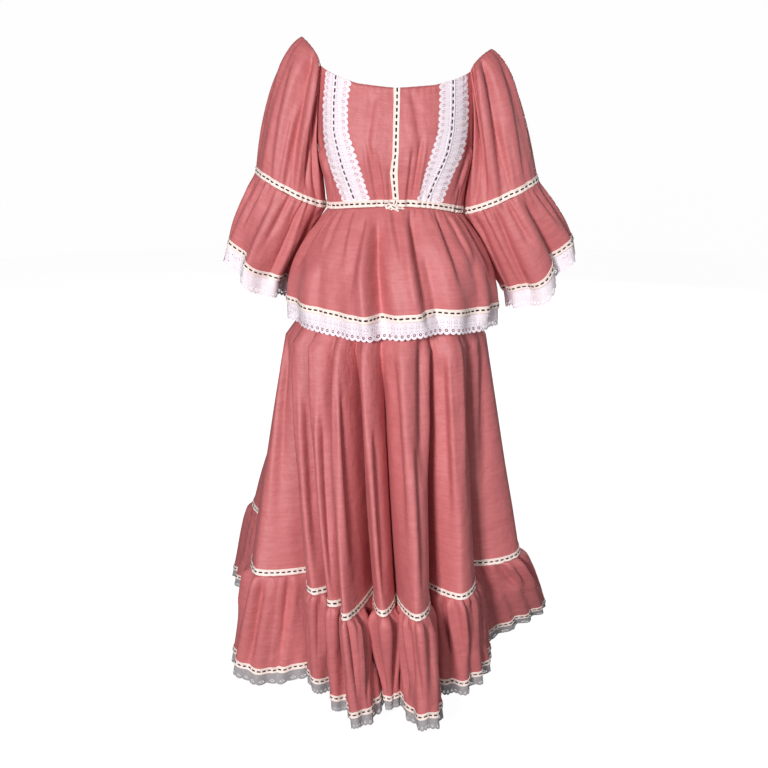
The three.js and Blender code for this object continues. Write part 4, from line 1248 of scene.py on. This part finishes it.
def band_line_between(middle, edge):
    """Places across half a band: down 0 is under its braid and BAND_LACE_WIDTH is its scalloped edge."""

    def line(z, down):
        share = (down - BAND_HEADER) / (BAND_LACE_WIDTH - BAND_HEADER)
        return lerp(read(BANDS, "z", z, middle), read(BANDS, "z", z, edge), share)

    return line


def down_band(line):
    def place(along, down):
        angle = line(-150 + 0 * along, down)
        for _ in range(5):
            z = lerp(top_edge(angle) - 0.3, waist_height(angle) + BRAID_WIDTH, along)
            angle = line(z, down)
        share = (top_edge(angle) - z) / (top_edge(angle) - waist_height(angle))
        ripple = 0.7 * np.sin(2 * np.pi * along * 17 + down / 9)
        lift = LACE_LIFT + ripple * np.clip(down / BAND_LACE_WIDTH, 0, 1)
        return lifted(bodice, angle, share, lift, BODICE_STEPS)

    return place


for name, letter in (("right", "R"), ("left", "L")):
    for edge in ("out", "in"):
        place = down_band(band_line_between("mid" + letter, edge + letter))
        run = run_of(place, 12)
        lace("lace_band_" + name, place, run, BAND_LACE_WIDTH, 3.5, LACE_FINISH, edge == "out", "_" + edge)


# The folded end of the centre braid over the waist braid: places, and how far it stands out
CURL = rows_of(("x", "z", "out"), [
    (0, -289, 1.5), (-1, -296, 3.5), (-5, -303, 6.5), (-12, -306, 6), (-17, -303, 4), (-15, -298, 6),
    (-7, -300, 9), (2, -306, 9.5), (10, -309, 7), (16, -304, 4.5),
])
CURL_WIDTH = 8


def curl_place(share, across, lift):
    share, across, lift = np.broadcast_arrays(np.asarray(share, float), across, lift)
    index = share * (len(CURL) - 1)

    def at(index):
        taps = [(-0.6, 0.2), (-0.3, 0.2), (0, 0.2), (0.3, 0.2), (0.6, 0.2)]
        columns = []
        for key in ("x", "z", "out"):
            values = [row[key] for row in CURL]
            columns.append(sum(w * np.interp(index + step, range(len(CURL)), values) for step, w in taps))
        return np.stack(columns, axis=-1)

    middle, ahead = at(index), at(index + 0.1) - at(index - 0.1)
    flat = ahead[..., :2] / np.linalg.norm(ahead[..., :2], axis=-1, keepdims=True)
    x = middle[..., 0] + flat[..., 1] * across * CURL_WIDTH / BRAID_WIDTH
    z = middle[..., 1] - flat[..., 0] * across * CURL_WIDTH / BRAID_WIDTH
    angle = np.degrees(np.arcsin(np.clip(x / 131, -0.9, 0.9)))
    front = on_body(z, angle)[..., 1]
    return np.stack([x, front - middle[..., 2] - lift, z], axis=-1)


# The curl is the folded end of a full braid, so its cut is wider than what shows
braid(None, curl_place, False, 90, BRAID_WIDTH, 0.5, name="center_curl", cut_width=BRAID_WIDTH)


# Backdrop, light and camera

# The camera stands where the photograph's did: 2.1 m in front, just below the shoulders
CAMERA_PLACE = (-0.022, -2.1, -0.08)
CAMERA_PITCH = -15.8
FOCAL_PIXELS = 1065
FRAME_PIXELS = 768
SENSOR = 36

FLOOR_Z = -1345
STUDIO_RADIUS = 6500
WALL_TOP = 7000
WALL_SIDES = 64


def stage_piece(name, points, faces, color, glow):
    """A pale surface that is seen but sends no light onto the dress."""
    piece = mesh_object(name, points, faces)
    material, _, _, shader = new_material(name + "_white", 0.9)
    shader.inputs["Base Color"].default_value = color
    shader.inputs["Emission Color"].default_value = (1, 1, 1, 1)
    shader.inputs["Emission Strength"].default_value = glow
    piece.data.materials.append(material)
    piece.visible_diffuse = False
    piece.visible_glossy = False
    piece.visible_shadow = False


def studio():
    """A plain pale floor under the hem and a pale wall all round it."""
    turns = [2 * math.pi * k / WALL_SIDES for k in range(WALL_SIDES)]
    low = [(STUDIO_RADIUS * math.sin(turn), STUDIO_RADIUS * math.cos(turn), FLOOR_Z) for turn in turns]
    high = [(x, y, WALL_TOP) for x, y, z in low]
    stage_piece("floor", low, [tuple(range(WALL_SIDES))], (0.1, 0.1, 0.1, 1), 0.96)
    around = [(k, (k + 1) % WALL_SIDES) for k in range(WALL_SIDES)]
    faces = [(a, b, b + WALL_SIDES, a + WALL_SIDES) for a, b in around]
    stage_piece("wall", low + high, faces, (0.02, 0.02, 0.02, 1), 0.98)


def area_light(name, place, target, side, watts):
    light = bpy.data.lights.new(name, "AREA")
    light.shape = "SQUARE"
    light.size = side
    light.energy = watts
    lamp = bpy.data.objects.new(name, light)
    bpy.context.collection.objects.link(lamp)
    lamp.location = place
    direction = np.array(target, float) - np.array(place, float)
    pitch = math.atan2(math.hypot(direction[0], direction[1]), -direction[2])
    lamp.rotation_euler = (pitch, 0, math.atan2(direction[1], direction[0]) - math.pi / 2)


def light_studio():
    world = bpy.data.worlds.new("studio_world")
    world.use_nodes = True
    world.node_tree.nodes["Background"].inputs["Color"].default_value = (1, 1, 1, 1)
    world.node_tree.nodes["Background"].inputs["Strength"].default_value = 0.07
    bpy.context.scene.world = world
    area_light("key_light", (-1.4, -4.0, 0.6), (0, 0, -0.8), 0.8, 194)
    area_light("fill_light", (1.5, -3.4, -0.5), (0, 0, -0.9), 1.0, 24)
    area_light("back_light", (1.4, 4.2, 0.8), (0, 0, -0.75), 1.6, 150)
    area_light("side_light", (4.4, 0.6, 0.4), (0, 0, -0.75), 1.6, 26)


def place_camera():
    data = bpy.data.cameras.new("camera")
    data.sensor_width = SENSOR
    data.lens = FOCAL_PIXELS / FRAME_PIXELS * SENSOR
    camera = bpy.data.objects.new("camera", data)
    bpy.context.collection.objects.link(camera)
    camera.location = CAMERA_PLACE
    camera.rotation_euler = (math.radians(90 + CAMERA_PITCH), 0, 0)
    bpy.context.scene.camera = camera


studio()
light_studio()
place_camera()
bpy.context.scene.view_settings.view_transform = "Standard"
bpy.context.scene.view_settings.look = "None"

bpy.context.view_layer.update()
